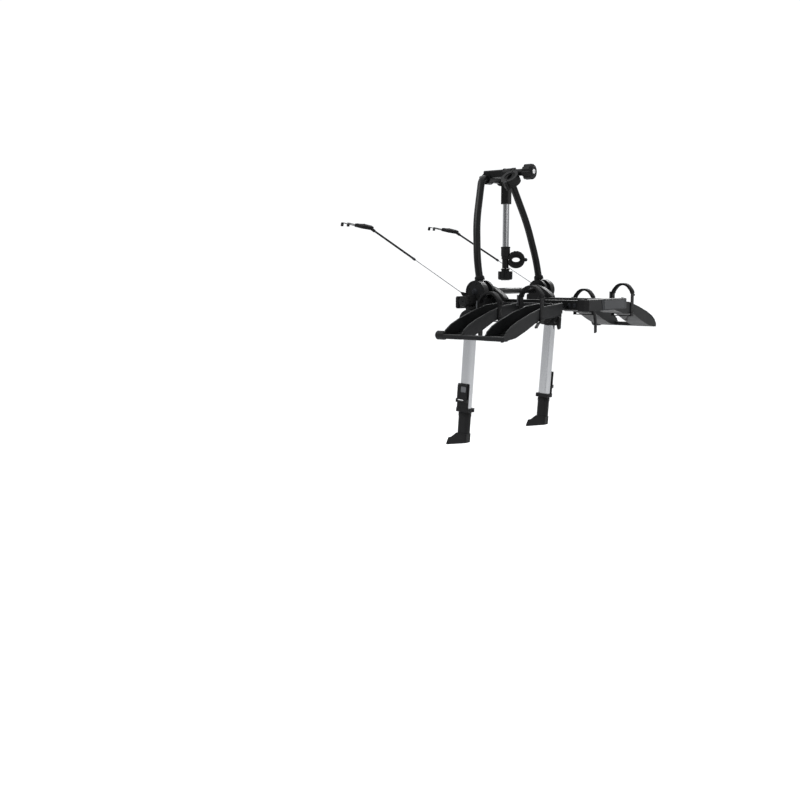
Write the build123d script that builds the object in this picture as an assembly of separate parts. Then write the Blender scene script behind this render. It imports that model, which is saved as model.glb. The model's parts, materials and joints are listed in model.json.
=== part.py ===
from build123d import *
import math
import os

# Folding rear rack with two wheel trays and two frame holders, in millimetres.
# X runs from side to side, Y towards the front and Z up. The origin lies midway between the
# front faces of the two upper pads, which carry the rack.

# Shared fits
run_gap = 0.05            # radial clearance of a turning fit
slide_gap = 0.3           # clearance of a sliding fit and round soft pieces
overrun = 1.0             # how far a cut passes the face that it opens

# Hub axis, on which the arch and the platform turn
hub_back = 72             # behind the pad faces
hub_rise = 40             # above the pad centres
axle_radius = 12
axle_wall = 2.5
arch_foot_x = 212         # centre plane to the foot of the arch
lug_width = 26
lug_eye_radius = 20
lug_neck_step = 0.7       # neck set in from the faces of the eye

# Hub housing
housing_radius = 42
housing_bottom = 66       # below the hub axis
housing_front = 40        # in front of the hub axis
inner_cheek = 12
outer_cheek = 30
cheek_gap = 0.5
slot_front_room = 6       # slot for the arch lug, past its eye to the front
slot_floor_room = 5
edge_round = 5

# Legs
leg_arm_step = 10         # outer face of the housing to the outer face of the leg arm
leg_pivot_drop = 106      # below the hub axis
leg_pivot_back = 6        # behind the hub axis
leg_lean = 4.1            # degrees, foot towards the front
leg_pin_radius = 10
leg_arm_width = 20
leg_arm_radius = 30
head_radius = 42
head_width = 40
head_reach = 40           # pivot to the lower end of the head
tube_wide = 32
tube_deep = 50
tube_wall = 2.5
tube_top = 20             # pivot to the upper end of the tube
collar_bottom = 345       # pivot to the lower face of the collar
collar_height = 15
collar_wide = 45
collar_deep = 58
slider_wide = 24
slider_deep = 42
slider_wall = 3
slider_in = 155           # collar to the upper end of the slider
slider_out = 83           # collar to the heel

# Arch, drawn in its own leaning plane
arch_lean = 10.2          # degrees, top towards the front
arch_radius = 14
arch_wall = 2.5
arch_foot_gap = 1         # housing to the lower end of the tube
arch_knee_height = 115
arch_waist_x = 180
arch_waist_height = 267
arch_crown_x = 104
arch_crown_height = 438
knee_bend_share = 0.651   # bends, as shares of the largest that their runs allow
waist_bend_share = 0.341
crown_bend_share = 0.132

# Frame holder arms on the crown of the arch
short_arm_share = -0.6    # places along the crown, of its half length
long_arm_share = 0.42
short_reach = 126         # crown to the middle of the claw
long_reach = 310
ring_radius = 22
ring_width = 32
arm_offset = 16           # arm axis to the crown axis
arm_radius = 13
arm_wall = 2.5

# Claws
claw_swivel_short = 42    # degrees about the arm axis
claw_swivel_long = -129
claw_throat = 20          # radius of the gripped tube
claw_arm = 42             # arm axis to the middle of the throat
claw_outer = 34
claw_width = 34
claw_split = 1.5          # half of the gap between the jaws

# Platform
arm_inner = 128           # centre plane to the inner face of a side arm
arm_width = 30
arm_top = 12
arm_bottom = -22
arm_plate = 3
beam_back = 491           # pad faces to the rear face
beam_depth = 38
beam_top = 15
beam_bottom = -26
lug_play = 1              # arm's lug to the housing

# Wheel trays
tray_spacing = 173
tray_first = 202          # pad faces to the middle of the first tray
tray_width = 80
tray_wall = 4
tray_floor = 5
root_gap = 1              # hinge knuckle to the root of a tray
tray_tip = 577
tray_top = 2              # height of the rim at the root
tray_drop = 116           # rim at the root to the floor at the tip
hinge_out = 32            # outer face of a side arm to the hinge axis
hinge_z = -14
hinge_rod_radius = 4
knuckle_radius = 9

# Hook cables
cable_rise = 29.1         # degrees above level
cable_length = 512
cable_radius = 1.5
cable_inset = 10          # outer end of the spool's boss to the cable
oval_share = 0.96         # roundness of an extrusion's ends

hub_y = -hub_back
hub_z = hub_rise
lug_half = lug_width / 2
lug_neck_radius = lug_half - lug_neck_step
arch_foot = housing_radius + arch_foot_gap
short_arm_x = arch_crown_x * short_arm_share
long_arm_x = arch_crown_x * long_arm_share
slot_inner = arch_foot_x - lug_half - cheek_gap
slot_outer = arch_foot_x + lug_half + cheek_gap
housing_inner = slot_inner - inner_cheek
housing_outer = slot_outer + outer_cheek
leg_arm_outer = housing_outer + leg_arm_step
leg_x = leg_arm_outer + cheek_gap + head_width / 2
arm_outer = arm_inner + arm_width
lug_outer = housing_inner - lug_play
hinge_x = arm_outer + hinge_out
tray_root = hinge_x + knuckle_radius + root_gap


def face_of(points):
    return make_face(Polyline(*points, close=True))


def prism_x(face, start, end):
    """Extrude a face drawn in (y, z) between two values of x."""
    return extrude(Plane.YZ.offset(start) * face, end - start)


def prism_y(face, start, end):
    """Extrude a face drawn in (x, z) between two values of y."""
    return extrude(Plane.XZ.offset(-end) * face, end - start)


def prism_z(face, start, end):
    """Extrude a face drawn in (x, y) between two values of z."""
    return extrude(Plane.XY.offset(start) * face, end - start)


def rod_x(y, z, radius, start, end):
    return prism_x(Pos(y, z) * Circle(radius), start, end)


def rod_y(x, z, radius, start, end):
    return prism_y(Pos(x, z) * Circle(radius), start, end)


def rod_z(x, y, radius, start, end):
    return prism_z(Pos(x, y) * Circle(radius), start, end)


def block(x0, x1, y0, y1, z0, z1, rounding=0, along=Axis.Z):
    """A box between two corners, with the edges along one axis rounded."""
    solid = Pos((x0 + x1) / 2, (y0 + y1) / 2, (z0 + z1) / 2) * Box(x1 - x0, y1 - y0, z1 - z0)
    if rounding:
        solid = fillet(solid.edges().filter_by(along), rounding)
    return solid


def oval(wide, deep):
    """An extrusion section with full round ends."""
    return RectangleRounded(wide, deep, min(wide, deep) / 2 * oval_share)


def save(name, shape):
    export_step(shape, f"parts/{name}.step")


def save_pair(name, shape):
    """Write a piece of the right side and its mirror image for the left."""
    save(f"{name}_right", shape)
    save(f"{name}_left", mirror(shape, about=Plane.YZ))


def save_both(name, shape):
    """Write one node that holds a piece and its mirror image."""
    save(name, Compound(children=[shape, mirror(shape, about=Plane.YZ)]))


os.makedirs("parts", exist_ok=True)

# Cross axle, a tube through both hubs
axle_end = 10             # outer face of the housing to the end of the axle


def cross_axle():
    half = housing_outer - axle_end
    tube = rod_x(hub_y, hub_z, axle_radius, -half, half)
    return tube - rod_x(hub_y, hub_z, axle_radius - axle_wall, -half - overrun, half + overrun)


# Hub housing: cheeks round the arch lug, arm down to the leg, arm to the pad, cable spool boss
housing_back = 34         # behind the hub axis
pad_x = 250
pad_wide = 60
pad_high = 46
pad_thick = 14
pad_corner = 8
pad_edge = 2
pad_arm_wide = 50
pad_arm_high = 36
spool_front = 10          # in front of the hub axis
spool_drop = 34
spool_radius = 22
spool_length = 43.5       # housing to the outer end of the boss
winding_radius = 14
nozzle_radius = 5
nozzle_start = 6
nozzle_end = 30
shaft_radius = 6
shaft_depth = 27

leg_pivot_y = hub_y - leg_pivot_back
leg_pivot_z = hub_z - leg_pivot_drop
leg_arm_inner = leg_arm_outer - leg_arm_width
leg_arm_top = 40          # below the hub axis
spool_end = housing_outer + spool_length
cable_x = spool_end - cable_inset
spool_y = hub_y + spool_front
spool_z = hub_z - spool_drop
cable_way = Vector(0, math.cos(math.radians(cable_rise)), math.sin(math.radians(cable_rise)))
cable_side = Vector(0, -cable_way.Z, cable_way.Y)
cable_tangent = Vector(cable_x, spool_y, spool_z) + cable_side * winding_radius
cable_start = cable_tangent + cable_way * nozzle_end


def along_cable(section, start, end):
    """Extrude a section along the cable, measured from the point where it leaves the spool."""
    across = Plane(cable_tangent + cable_way * start, x_dir=(1, 0, 0), z_dir=cable_way)
    return extrude(across * section, end - start)


def hub_housing():
    front = hub_y + housing_front
    back = hub_y - housing_back
    floor = hub_z - housing_bottom
    dome = rod_x(hub_y, hub_z, housing_radius, housing_inner, housing_outer)
    base = block(housing_inner, housing_outer, back, front, floor, hub_z, edge_round, Axis.X)
    slot = block(slot_inner, slot_outer, hub_y - housing_radius - overrun,
                 hub_y + lug_eye_radius + slot_front_room,
                 hub_z - lug_eye_radius - slot_floor_room, hub_z + housing_radius + overrun)
    leg_arm_face = face_of([
        (back, hub_z - leg_arm_top),
        (front, hub_z - leg_arm_top),
        (leg_pivot_y + leg_arm_radius, leg_pivot_z),
        (leg_pivot_y - leg_arm_radius, leg_pivot_z),
    ])
    leg_arm = prism_x(leg_arm_face, leg_arm_inner, leg_arm_outer)
    leg_arm += rod_x(leg_pivot_y, leg_pivot_z, leg_arm_radius, leg_arm_inner, leg_arm_outer)
    pad_arm = block(pad_x - pad_arm_wide / 2, pad_x + pad_arm_wide / 2, front - edge_round,
                    -pad_thick, -pad_arm_high / 2, pad_arm_high / 2, edge_round, Axis.Y)
    boss = rod_x(spool_y, spool_z, spool_radius, housing_outer - overrun, spool_end)
    nozzle = along_cable(Circle(nozzle_radius), nozzle_start, nozzle_end)
    housing = dome + base - slot + leg_arm + pad_arm + boss + nozzle
    housing -= rod_x(hub_y, hub_z, axle_radius + run_gap, housing_inner - overrun,
                     housing_outer - axle_end + run_gap)
    housing -= rod_x(leg_pivot_y, leg_pivot_z, leg_pin_radius + run_gap,
                     leg_arm_inner - overrun, leg_arm_outer + overrun)
    housing -= rod_x(spool_y, spool_z, shaft_radius + run_gap, spool_end - shaft_depth,
                     spool_end + overrun)
    return housing


def upper_pad():
    pad = block(pad_x - pad_wide / 2, pad_x + pad_wide / 2, -pad_thick, 0,
                -pad_high / 2, pad_high / 2, pad_corner, Axis.Y)
    front_edges = pad.edges().group_by(Axis.Y)[-1]
    return fillet(front_edges, pad_edge)


# Tension knob, which winds the cable on to its spool
grip_radius = 20
grip_width = 18
grip_flutes = 10
grip_flute_radius = 3
grip_edge = 3


def fluted(radius, width, flutes, flute_radius, edge):
    """A round grip along Z with its outer face rounded and flutes cut round its rim."""
    grip = extrude(Circle(radius), width)
    grip = fillet(grip.edges().group_by(Axis.Z)[-1], edge)
    for cut in PolarLocations(radius + flute_radius / 2, flutes):
        grip -= cut * extrude(Circle(flute_radius), width + overrun)
    return grip


def tension_knob():
    face = Plane((spool_end + cheek_gap, spool_y, spool_z), x_dir=(0, 1, 0), z_dir=(1, 0, 0))
    grip = face * fluted(grip_radius, grip_width, grip_flutes, grip_flute_radius, grip_edge)
    shaft = rod_x(spool_y, spool_z, shaft_radius, spool_end - shaft_depth + run_gap,
                  spool_end + cheek_gap + overrun)
    return grip + shaft


# Pivot pin of a leg, with its retaining head
pin_head_radius = 15
pin_head_width = 5


def leg_pivot_pin():
    head_face = leg_x + head_width / 2 + cheek_gap
    pin = rod_x(leg_pivot_y, leg_pivot_z, leg_pin_radius, leg_arm_inner, head_face + overrun)
    return pin + rod_x(leg_pivot_y, leg_pivot_z, pin_head_radius, head_face,
                       head_face + pin_head_width)


save("cross_axle", cross_axle())
save_pair("hub_housing", hub_housing())
save_pair("tension_knob", tension_knob())
save_both("upper_pads", upper_pad())
save_both("leg_pivot_pins", leg_pivot_pin())

# Hook cable with its sleeve, and the hook that it pulls
sleeve_radius = 4
sleeve_length = 234
ferrule_radius = 6
ferrule_length = 18
ferrule_inside = 4
hook_tilt = 12            # degrees above level
hook_neck = 18
hook_wide = 60
hook_shoulder = 26
hook_long = 70
hook_high = 14
hook_low = 3              # cover below the plate's middle
hook_edge = 4
hook_plate_thick = 2.5
finger_spread = 48
finger_wide = 12
finger_tip = 147          # back of the hook to the tips
hook_plate_back = 25
lip_drop = 14

cable_end = nozzle_end + cable_length
ferrule_start = cable_end - ferrule_length + ferrule_inside
hook_point = cable_tangent + cable_way * cable_end
hook_slope = math.radians(hook_tilt)
hook_frame = Plane(hook_point, x_dir=(1, 0, 0),
                   z_dir=(0, -math.sin(hook_slope), math.cos(hook_slope)))


def cable():
    return along_cable(Circle(cable_radius), nozzle_end, ferrule_start)


def cable_sleeve():
    end = ferrule_start - slide_gap
    section = Circle(sleeve_radius) - Circle(cable_radius + run_gap)
    return along_cable(section, end - sleeve_length, end)


def hook_plate():
    half = hook_plate_thick / 2
    base = block(-finger_spread / 2, finger_spread / 2, hook_plate_back, hook_long + finger_wide,
                 -half, half)
    plate = base
    for side in (-1, 1):
        inner = side * (finger_spread / 2 - finger_wide)
        outer = side * finger_spread / 2
        low, high = min(inner, outer), max(inner, outer)
        plate += block(low, high, hook_long, finger_tip, -half, half)
        plate += block(low, high, finger_tip - hook_plate_thick, finger_tip, -lip_drop, half)
    return hook_frame * plate


def hook_cover():
    outline = face_of([
        (-hook_neck / 2, 0),
        (hook_neck / 2, 0),
        (hook_wide / 2, hook_shoulder),
        (hook_wide / 2, hook_long),
        (-hook_wide / 2, hook_long),
        (-hook_wide / 2, hook_shoulder),
    ])
    cover = prism_z(fillet(outline.vertices(), hook_edge), -hook_low, hook_high - hook_low)
    cover = fillet(cover.edges().group_by(Axis.Z)[-1], hook_edge)
    cover -= block(-finger_spread / 2 - run_gap, finger_spread / 2 + run_gap,
                   hook_plate_back - run_gap, hook_long + overrun,
                   -hook_plate_thick / 2 - run_gap, hook_plate_thick / 2 + run_gap)
    return hook_frame * cover + along_cable(Circle(ferrule_radius), ferrule_start,
                                            cable_end + ferrule_inside)


save_pair("cable", cable())
save_pair("cable_sleeve", cable_sleeve())
save_pair("hook_plate", hook_plate())
save_pair("hook_cover", hook_cover())

# Arch: a bent tube on two lugs
spigot_length = 30

lean = math.radians(arch_lean)
lean_way = Vector(0, math.sin(lean), math.cos(lean))
arch_plane = Plane((0, hub_y, hub_z), x_dir=(1, 0, 0), z_dir=(0, -lean_way.Z, lean_way.Y))
crown_y = hub_y + arch_crown_height * lean_way.Y
crown_z = hub_z + arch_crown_height * lean_way.Z


def bend_radius(before, corner, after, share):
    """The radius of a bend that takes up a share of the shorter run beside its corner."""
    first = Vector(*corner) - Vector(*before)
    second = Vector(*after) - Vector(*corner)
    turn = math.radians(first.get_angle(second))
    return share * min(first.length, second.length) / math.tan(turn / 2)


def arch_tube():
    right = [
        (arch_crown_x, arch_crown_height),
        (arch_waist_x, arch_waist_height),
        (arch_foot_x, arch_knee_height),
        (arch_foot_x, arch_foot),
    ]
    left = [(-x, height) for x, height in reversed(right)]
    points = left + right
    shares = [knee_bend_share, waist_bend_share, crown_bend_share]
    shares += shares[::-1]
    bends = [bend_radius(*corner) for corner in zip(points, points[1:], points[2:], shares)]
    path = arch_plane * FilletPolyline(*points, radius=bends)
    section = Circle(arch_radius) - Circle(arch_radius - arch_wall)
    return sweep(Plane(path @ 0, z_dir=path % 0) * section, path)


def arch_lug():
    eye = rod_x(hub_y, hub_z, lug_eye_radius, arch_foot_x - lug_half, arch_foot_x + lug_half)
    up = Plane((arch_foot_x, hub_y, hub_z), x_dir=(1, 0, 0), z_dir=lean_way)
    neck = up * extrude(Circle(lug_neck_radius), arch_foot)
    bore_fit = arch_radius - arch_wall - run_gap
    spigot = up * rod_z(0, 0, bore_fit, arch_foot - overrun, arch_foot + spigot_length)
    return eye + neck + spigot - rod_x(hub_y, hub_z, axle_radius + run_gap,
                                       slot_inner, slot_outer)


save("arch_tube", arch_tube())
save_both("arch_lugs", arch_lug())

# Frame holder arms. Each is drawn with the crown axis along X and the arm along Z.
bar_wide = 26
bar_deep = 30
bar_start = -12
journal_length = 27
journal_stop = 25         # end of the arm to the middle of the claw
bracket_wide = 32
bracket_deep = 34
bracket_end = 92
bracket_edge = 6
tube_inset = 42

short_frame = Plane((short_arm_x, crown_y, crown_z), x_dir=(1, 0, 0), z_dir=(0, -1, 0))
long_frame = Plane((long_arm_x, crown_y, crown_z), x_dir=(1, 0, 0), z_dir=(0, 0, -1))


def arm_root(wide, deep, end):
    """The ring round the crown of the arch and the bar that leaves it."""
    ring = rod_x(0, 0, ring_radius, -ring_width / 2, ring_width / 2)
    bar = block(-wide / 2, wide / 2, arm_offset - deep / 2, arm_offset + deep / 2,
                bar_start, end, bracket_edge)
    return ring + bar


def crown_bore():
    return rod_x(0, 0, arch_radius + run_gap, -ring_width, ring_width)


def short_arm():
    bar_end = short_reach - journal_stop - journal_length
    arm = arm_root(bar_wide, bar_deep, bar_end) - crown_bore()
    arm += rod_z(0, arm_offset, arm_radius, bar_end - overrun, short_reach - journal_stop)
    return short_frame * arm


def long_arm_bracket():
    bracket = arm_root(bracket_wide, bracket_deep, bracket_end) - crown_bore()
    bracket -= rod_z(0, arm_offset, arm_radius + run_gap, bracket_end - tube_inset,
                     bracket_end + overrun)
    return long_frame * bracket


def long_arm_tube():
    start = bracket_end - tube_inset
    end = long_reach - journal_stop
    tube = rod_z(0, arm_offset, arm_radius, start, end)
    tube -= rod_z(0, arm_offset, arm_radius - arm_wall, start - overrun, end + overrun)
    return long_frame * tube


save("short_arm", short_arm())
save("long_arm_bracket", long_arm_bracket())
save("long_arm_tube", long_arm_tube())

# Claws. Drawn with the arm axis along Z, the throat's axis along Y and the throat on the -X side.
socket_radius = 18
socket_bottom = -50
socket_top = -14
socket_stop = 0.5         # end of the arm to the floor of the socket
cavity_radius = 8
ear_end = 15              # arm axis to the end of the bolt ear
ear_low = -16
bolt_radius = 4
bolt_bottom = -20
ear_slot_width = 9
slot_back = 7
boss_radius = 13
liner_thick = 4
claw_pin_radius = 3
claw_knuckle_radius = 7
claw_knuckle_width = 11
knuckle_play = 0.5
neck_radius = 16
neck_height = 11
knob_radius = 29
knob_height = 34
knob_lobes = 8
knob_lobe_radius = 7
knob_edge = 7

claw_half = claw_width / 2
claw_knuckle_half = claw_knuckle_width / 2
claw_hinge = -(claw_arm + claw_outer + claw_pin_radius)


def jaw_half(outer, inner, low, high):
    """Half of a ring round the throat, between two heights."""
    ring = Pos(-claw_arm, 0) * (Circle(outer) - Circle(inner))
    reach = outer + overrun
    keep = block(-claw_arm - reach, -claw_arm + reach, -claw_half, claw_half, low, high)
    return prism_y(ring, -claw_half, claw_half) & keep


def hinge_room(low, high):
    return rod_y(claw_hinge, 0, claw_knuckle_radius + knuckle_play, low, high)


def claw_knuckle(low, high):
    return rod_y(claw_hinge, 0, claw_knuckle_radius, low, high)


def claw_body():
    body = jaw_half(claw_outer, claw_throat, -claw_outer, -claw_split)
    body += rod_z(0, 0, socket_radius, socket_bottom, socket_top)
    body += block(-ear_end, ear_end, -ear_end, ear_end, ear_low, -claw_split, edge_round)
    body -= rod_z(0, 0, arm_radius + run_gap, socket_bottom - overrun,
                  -journal_stop + socket_stop)
    body -= rod_z(0, 0, cavity_radius, -journal_stop, socket_top)
    body -= block(-slot_back, ear_end + overrun, -ear_slot_width / 2, ear_slot_width / 2,
                  socket_top - overrun, 0)
    room = claw_knuckle_half + knuckle_play
    body -= hinge_room(-room, room)
    body -= prism_y(Pos(-claw_arm, 0) * Circle(claw_throat), -claw_width, claw_width)
    outer_knuckle = claw_knuckle(room, claw_half)
    body += outer_knuckle + mirror(outer_knuckle, about=Plane.XZ)
    return body - rod_y(claw_hinge, 0, claw_pin_radius + run_gap, -claw_width, claw_width)


def claw_jaw():
    jaw = jaw_half(claw_outer, claw_throat + liner_thick, claw_split, claw_outer)
    jaw += rod_z(0, 0, boss_radius, claw_split, claw_outer)
    jaw -= prism_y(Pos(-claw_arm, 0) * Circle(claw_throat + liner_thick), -claw_width, claw_width)
    side = hinge_room(claw_knuckle_half, claw_width)
    jaw -= side + mirror(side, about=Plane.XZ)
    jaw += claw_knuckle(-claw_knuckle_half, claw_knuckle_half)
    jaw -= rod_z(0, 0, bolt_radius + run_gap, 0, claw_outer + overrun)
    return jaw - rod_y(claw_hinge, 0, claw_pin_radius + run_gap, -claw_width, claw_width)


def jaw_liner():
    return jaw_half(claw_throat + liner_thick, claw_throat, claw_split, claw_throat + liner_thick)


def claw_pin():
    return rod_y(claw_hinge, 0, claw_pin_radius, -claw_half, claw_half)


def claw_knob():
    start = claw_outer + cheek_gap
    knob = rod_z(0, 0, neck_radius, start, start + neck_height + overrun)
    grip = fluted(knob_radius, knob_height, knob_lobes, knob_lobe_radius, knob_edge)
    knob += Pos(0, 0, start + neck_height) * grip
    return knob + rod_z(0, 0, bolt_radius, bolt_bottom, start + overrun)


def save_claw(name, frame, reach, swivel):
    place = frame * Pos(0, arm_offset, reach) * Rot(0, 0, swivel)
    save(f"{name}_claw_body", place * claw_body())
    save(f"{name}_claw_jaw", place * claw_jaw())
    save(f"{name}_claw_liner", place * jaw_liner())
    save(f"{name}_claw_pin", place * claw_pin())
    save(f"{name}_claw_knob", place * claw_knob())


save_claw("short", short_frame, short_reach, claw_swivel_short)
save_claw("long", long_frame, long_reach, claw_swivel_long)

# Platform: two side arms on the axle, closed at the back by a beam
arm_front = 110           # pad faces to the front end of a side arm
web_back = 158
web_front = 54
lug_round = 22
bracket_length = 18
bracket_step = 4          # end of the wing to the bracket
knuckle_length = 16
knuckle_space = 1
hinge_link_rise = 5       # height of a link past the radius of the knuckle
beam_corner = 13
plate_left = -30
plate_right = 132
plate_low = -21
plate_high = 9
plate_inset = 1.2
plate_thick = 2.5
plate_gap = 0.3

beam_front = beam_back - beam_depth
wing_back = tray_first + tray_spacing + tray_width / 2
wing_front = tray_first - tray_width / 2
rear_bracket = -wing_back + bracket_step
front_bracket = -wing_front - bracket_step - bracket_length


def hinge_bracket(start):
    link = block(arm_outer - overrun, hinge_x, start, start + bracket_length,
                 arm_bottom, arm_bottom + knuckle_radius + hinge_link_rise)
    return link + rod_y(hinge_x, hinge_z, knuckle_radius, start, start + bracket_length)


def side_arm():
    arm = block(arm_inner, arm_outer, -beam_front, -arm_front, arm_bottom, arm_top, edge_round / 2)
    arm -= block(arm_inner + arm_plate, arm_outer - arm_plate, -beam_front + arm_plate,
                 -arm_front - arm_plate, arm_bottom - overrun, arm_top - arm_plate)
    web_face = face_of([
        (-web_back, arm_bottom),
        (-web_front, arm_bottom),
        (hub_y + lug_round, hub_z),
        (hub_y - lug_round, hub_z + lug_round / 2),
        (-web_back, arm_top),
    ])
    arm += prism_x(web_face, arm_outer - arm_plate, lug_outer)
    arm += rod_x(hub_y, hub_z, lug_round, arm_outer - arm_plate, lug_outer)
    for start in (rear_bracket, front_bracket):
        arm += hinge_bracket(start)
    arm -= rod_x(hub_y, hub_z, axle_radius + run_gap, arm_inner, lug_outer + overrun)
    return arm - rod_y(hinge_x, hinge_z, hinge_rod_radius + run_gap, -wing_back, -wing_front)


def rear_beam():
    outline = block(-arm_outer, arm_outer, -beam_back, -beam_front, beam_bottom, beam_top)
    corners = outline.edges().filter_by(Axis.Z).group_by(Axis.Y)[0]
    beam = chamfer(corners, beam_corner)
    beam = fillet(beam.edges().group_by(Axis.Z)[-1], edge_round / 2)
    beam -= block(-arm_inner, arm_inner, -beam_back + arm_plate, -beam_front - arm_plate,
                  beam_bottom - overrun, beam_top - arm_plate)
    return beam - block(plate_left - plate_gap, plate_right + plate_gap, -beam_back - overrun,
                        -beam_back + plate_inset, plate_low - plate_gap, plate_high + plate_gap)


def label_plate():
    return block(plate_left, plate_right, -beam_back + plate_inset - plate_thick,
                 -beam_back + plate_inset, plate_low, plate_high, edge_round / 2, Axis.Y)


def hinge_rod():
    return rod_y(hinge_x, hinge_z, hinge_rod_radius, -wing_back + bracket_step,
                 -wing_front - bracket_step)


save_pair("side_arm", side_arm())
save("rear_beam", rear_beam())
save("label_plate", label_plate())
save_both("wing_hinge_rods", hinge_rod())

# Wheel trays. Both trays of a side form one folding wing. Rim and floor are shares of the
# wing's reach and drop, from root to tip.
rim_shares = [(0, 0), (0.33, 0.08), (0.55, 0.25), (0.75, 0.44), (0.88, 0.60), (0.96, 0.76),
              (1, 0.88)]
floor_shares = [(1, 1), (0.81, 0.93), (0.64, 0.75), (0.46, 0.52), (0.29, 0.43), (0.16, 0.42),
                (0, 0.30)]
root_width = 16
end_bar_width = 24
end_bar_height = 16
end_knob_radius = 15
end_knob_length = 34
end_knob_inset = 15
end_knob_rise = 11


def wing_points(shares, lift=0):
    reach = tray_tip - tray_root
    return [(tray_root + x * reach, tray_top - drop * tray_drop + lift) for x, drop in shares]


def tray(middle):
    back = -middle - tray_width / 2
    front = -middle + tray_width / 2
    floor_line = wing_points(floor_shares)
    wall = face_of(wing_points(rim_shares) + floor_line)
    floor = face_of(floor_line + wing_points(floor_shares, tray_floor)[::-1])
    solid = prism_y(wall, back, back + tray_wall) + prism_y(wall, front - tray_wall, front)
    solid += prism_y(floor, back, front)
    return solid


def wing():
    bottom = tray_top - tray_drop
    solid = tray(tray_first) + tray(tray_first + tray_spacing)
    solid += block(tray_root, tray_root + root_width, -wing_back, -wing_front,
                   tray_top - floor_shares[-1][1] * tray_drop, tray_top)
    solid += block(tray_tip - end_bar_width, tray_tip, -wing_back, -wing_front,
                   bottom, bottom + end_bar_height, edge_round, Axis.Y)
    knob = rod_y(tray_tip - end_knob_inset, bottom + end_knob_rise, end_knob_radius,
                 -wing_front - overrun, -wing_front + end_knob_length)
    solid += fillet(knob.edges().group_by(Axis.Y)[-1], edge_round)
    rear = rear_bracket + bracket_length + knuckle_space
    front = front_bracket - knuckle_space - knuckle_length
    for start in (rear, front):
        solid += rod_y(hinge_x, hinge_z, knuckle_radius, start, start + knuckle_length)
        solid += block(hinge_x, tray_root + overrun, start, start + knuckle_length,
                       hinge_z - knuckle_radius, hinge_z + knuckle_radius)
    return solid - rod_y(hinge_x, hinge_z, hinge_rod_radius + run_gap, -wing_back, -wing_front)


save_pair("tray_wing", wing())

# Wheel straps: a flat loop round each tray, low over the rim of a wheel in the front one and
# higher in the rear one, with a buckle whose lever lies on its front run
strap_x = 345
strap_wide = 22
strap_thick = 3
strap_foot = -60
front_strap_top = 40
rear_strap_top = 64
shoulder_drop = 28        # top of the loop to its shoulder
strap_crown_share = 0.42
strap_bend = 24
buckle_side = 3
buckle_base = 4
buckle_drop = 40          # shoulder to the lower end of the buckle
buckle_length = 38
buckle_ear = 12
buckle_ear_high = 10
lever_thick = 6
lever_pin_radius = 2
lever_play = 0.3

strap_half = tray_width / 2 + slide_gap + strap_thick / 2
strap_face = strap_half + strap_thick / 2
buckle_half = strap_wide / 2 + buckle_side
lever_axis_y = strap_face + buckle_base + lever_play + lever_thick / 2


def buckle_foot(top):
    return top - shoulder_drop - buckle_drop


def wheel_strap(middle, top):
    crown = strap_half * strap_crown_share
    shoulder = top - shoulder_drop
    path = Plane.YZ * FilletPolyline(
        (-strap_half, strap_foot), (-strap_half, shoulder), (-crown, top),
        (crown, top), (strap_half, shoulder), (strap_half, strap_foot),
        radius=strap_bend)
    section = Plane(path @ 0, x_dir=(1, 0, 0), z_dir=path % 0) * Rectangle(strap_wide, strap_thick)
    hoop = sweep(section, path)
    hoop += block(-strap_wide / 2, strap_wide / 2, -strap_face, strap_face,
                  strap_foot - strap_thick, strap_foot)
    buckle_low = buckle_foot(top)
    lever_axis_z = buckle_low + lever_thick / 2
    base = block(-buckle_half, buckle_half, strap_face - overrun, strap_face + buckle_base,
                 buckle_low, buckle_low + buckle_length)
    inner_ear = strap_wide / 2 + lever_play
    ear = block(inner_ear, buckle_half, strap_face, strap_face + buckle_ear,
                buckle_low, buckle_low + buckle_ear_high)
    hoop += base + ear + mirror(ear, about=Plane.YZ)
    hoop -= rod_x(lever_axis_y, lever_axis_z, lever_pin_radius + run_gap, -buckle_half - overrun,
                  buckle_half + overrun)
    return Pos(strap_x, -middle, 0) * hoop


def buckle_lever(middle, top):
    half = strap_wide / 2
    buckle_low = buckle_foot(top)
    lever_axis_z = buckle_low + lever_thick / 2
    blade = block(-half, half, lever_axis_y - lever_thick / 2, lever_axis_y + lever_thick / 2,
                  lever_axis_z, buckle_low + buckle_length)
    blade += rod_x(lever_axis_y, lever_axis_z, lever_thick / 2, -half, half)
    blade += rod_x(lever_axis_y, lever_axis_z, lever_pin_radius, -buckle_half, buckle_half)
    return Pos(strap_x, -middle, 0) * blade


for place, middle, top in (("front", tray_first, front_strap_top),
                           ("rear", tray_first + tray_spacing, rear_strap_top)):
    save_pair(f"{place}_wheel_strap", wheel_strap(middle, top))
    save_pair(f"{place}_buckle_lever", buckle_lever(middle, top))

# Legs, drawn upright with the pivot at the origin and then leaned
head_side = 62
tail_width = 16
tail_shares = [(-0.86, 0.19), (-1.17, -0.19), (-1.19, -1.19), (-1.07, -1.33), (-0.98, -1.19),
               (-0.81, -0.52)]
clamp_rise = 108          # collar to the upper end of the clamp plate
clamp_plate = 5
clamp_ear = 10
clamp_ear_wide = 4
clamp_ear_high = 14
lever_rise = 44           # collar to the lever's pivot
leg_lever_pin = 2.5
leg_lever_thick = 9
lever_top_gap = 2
panel_depth = 2
panel_rise = 33           # lever's pivot to the grey panel
panel_length = 22
panel_width = 24
panel_back = 6            # behind the middle of the lever

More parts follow.
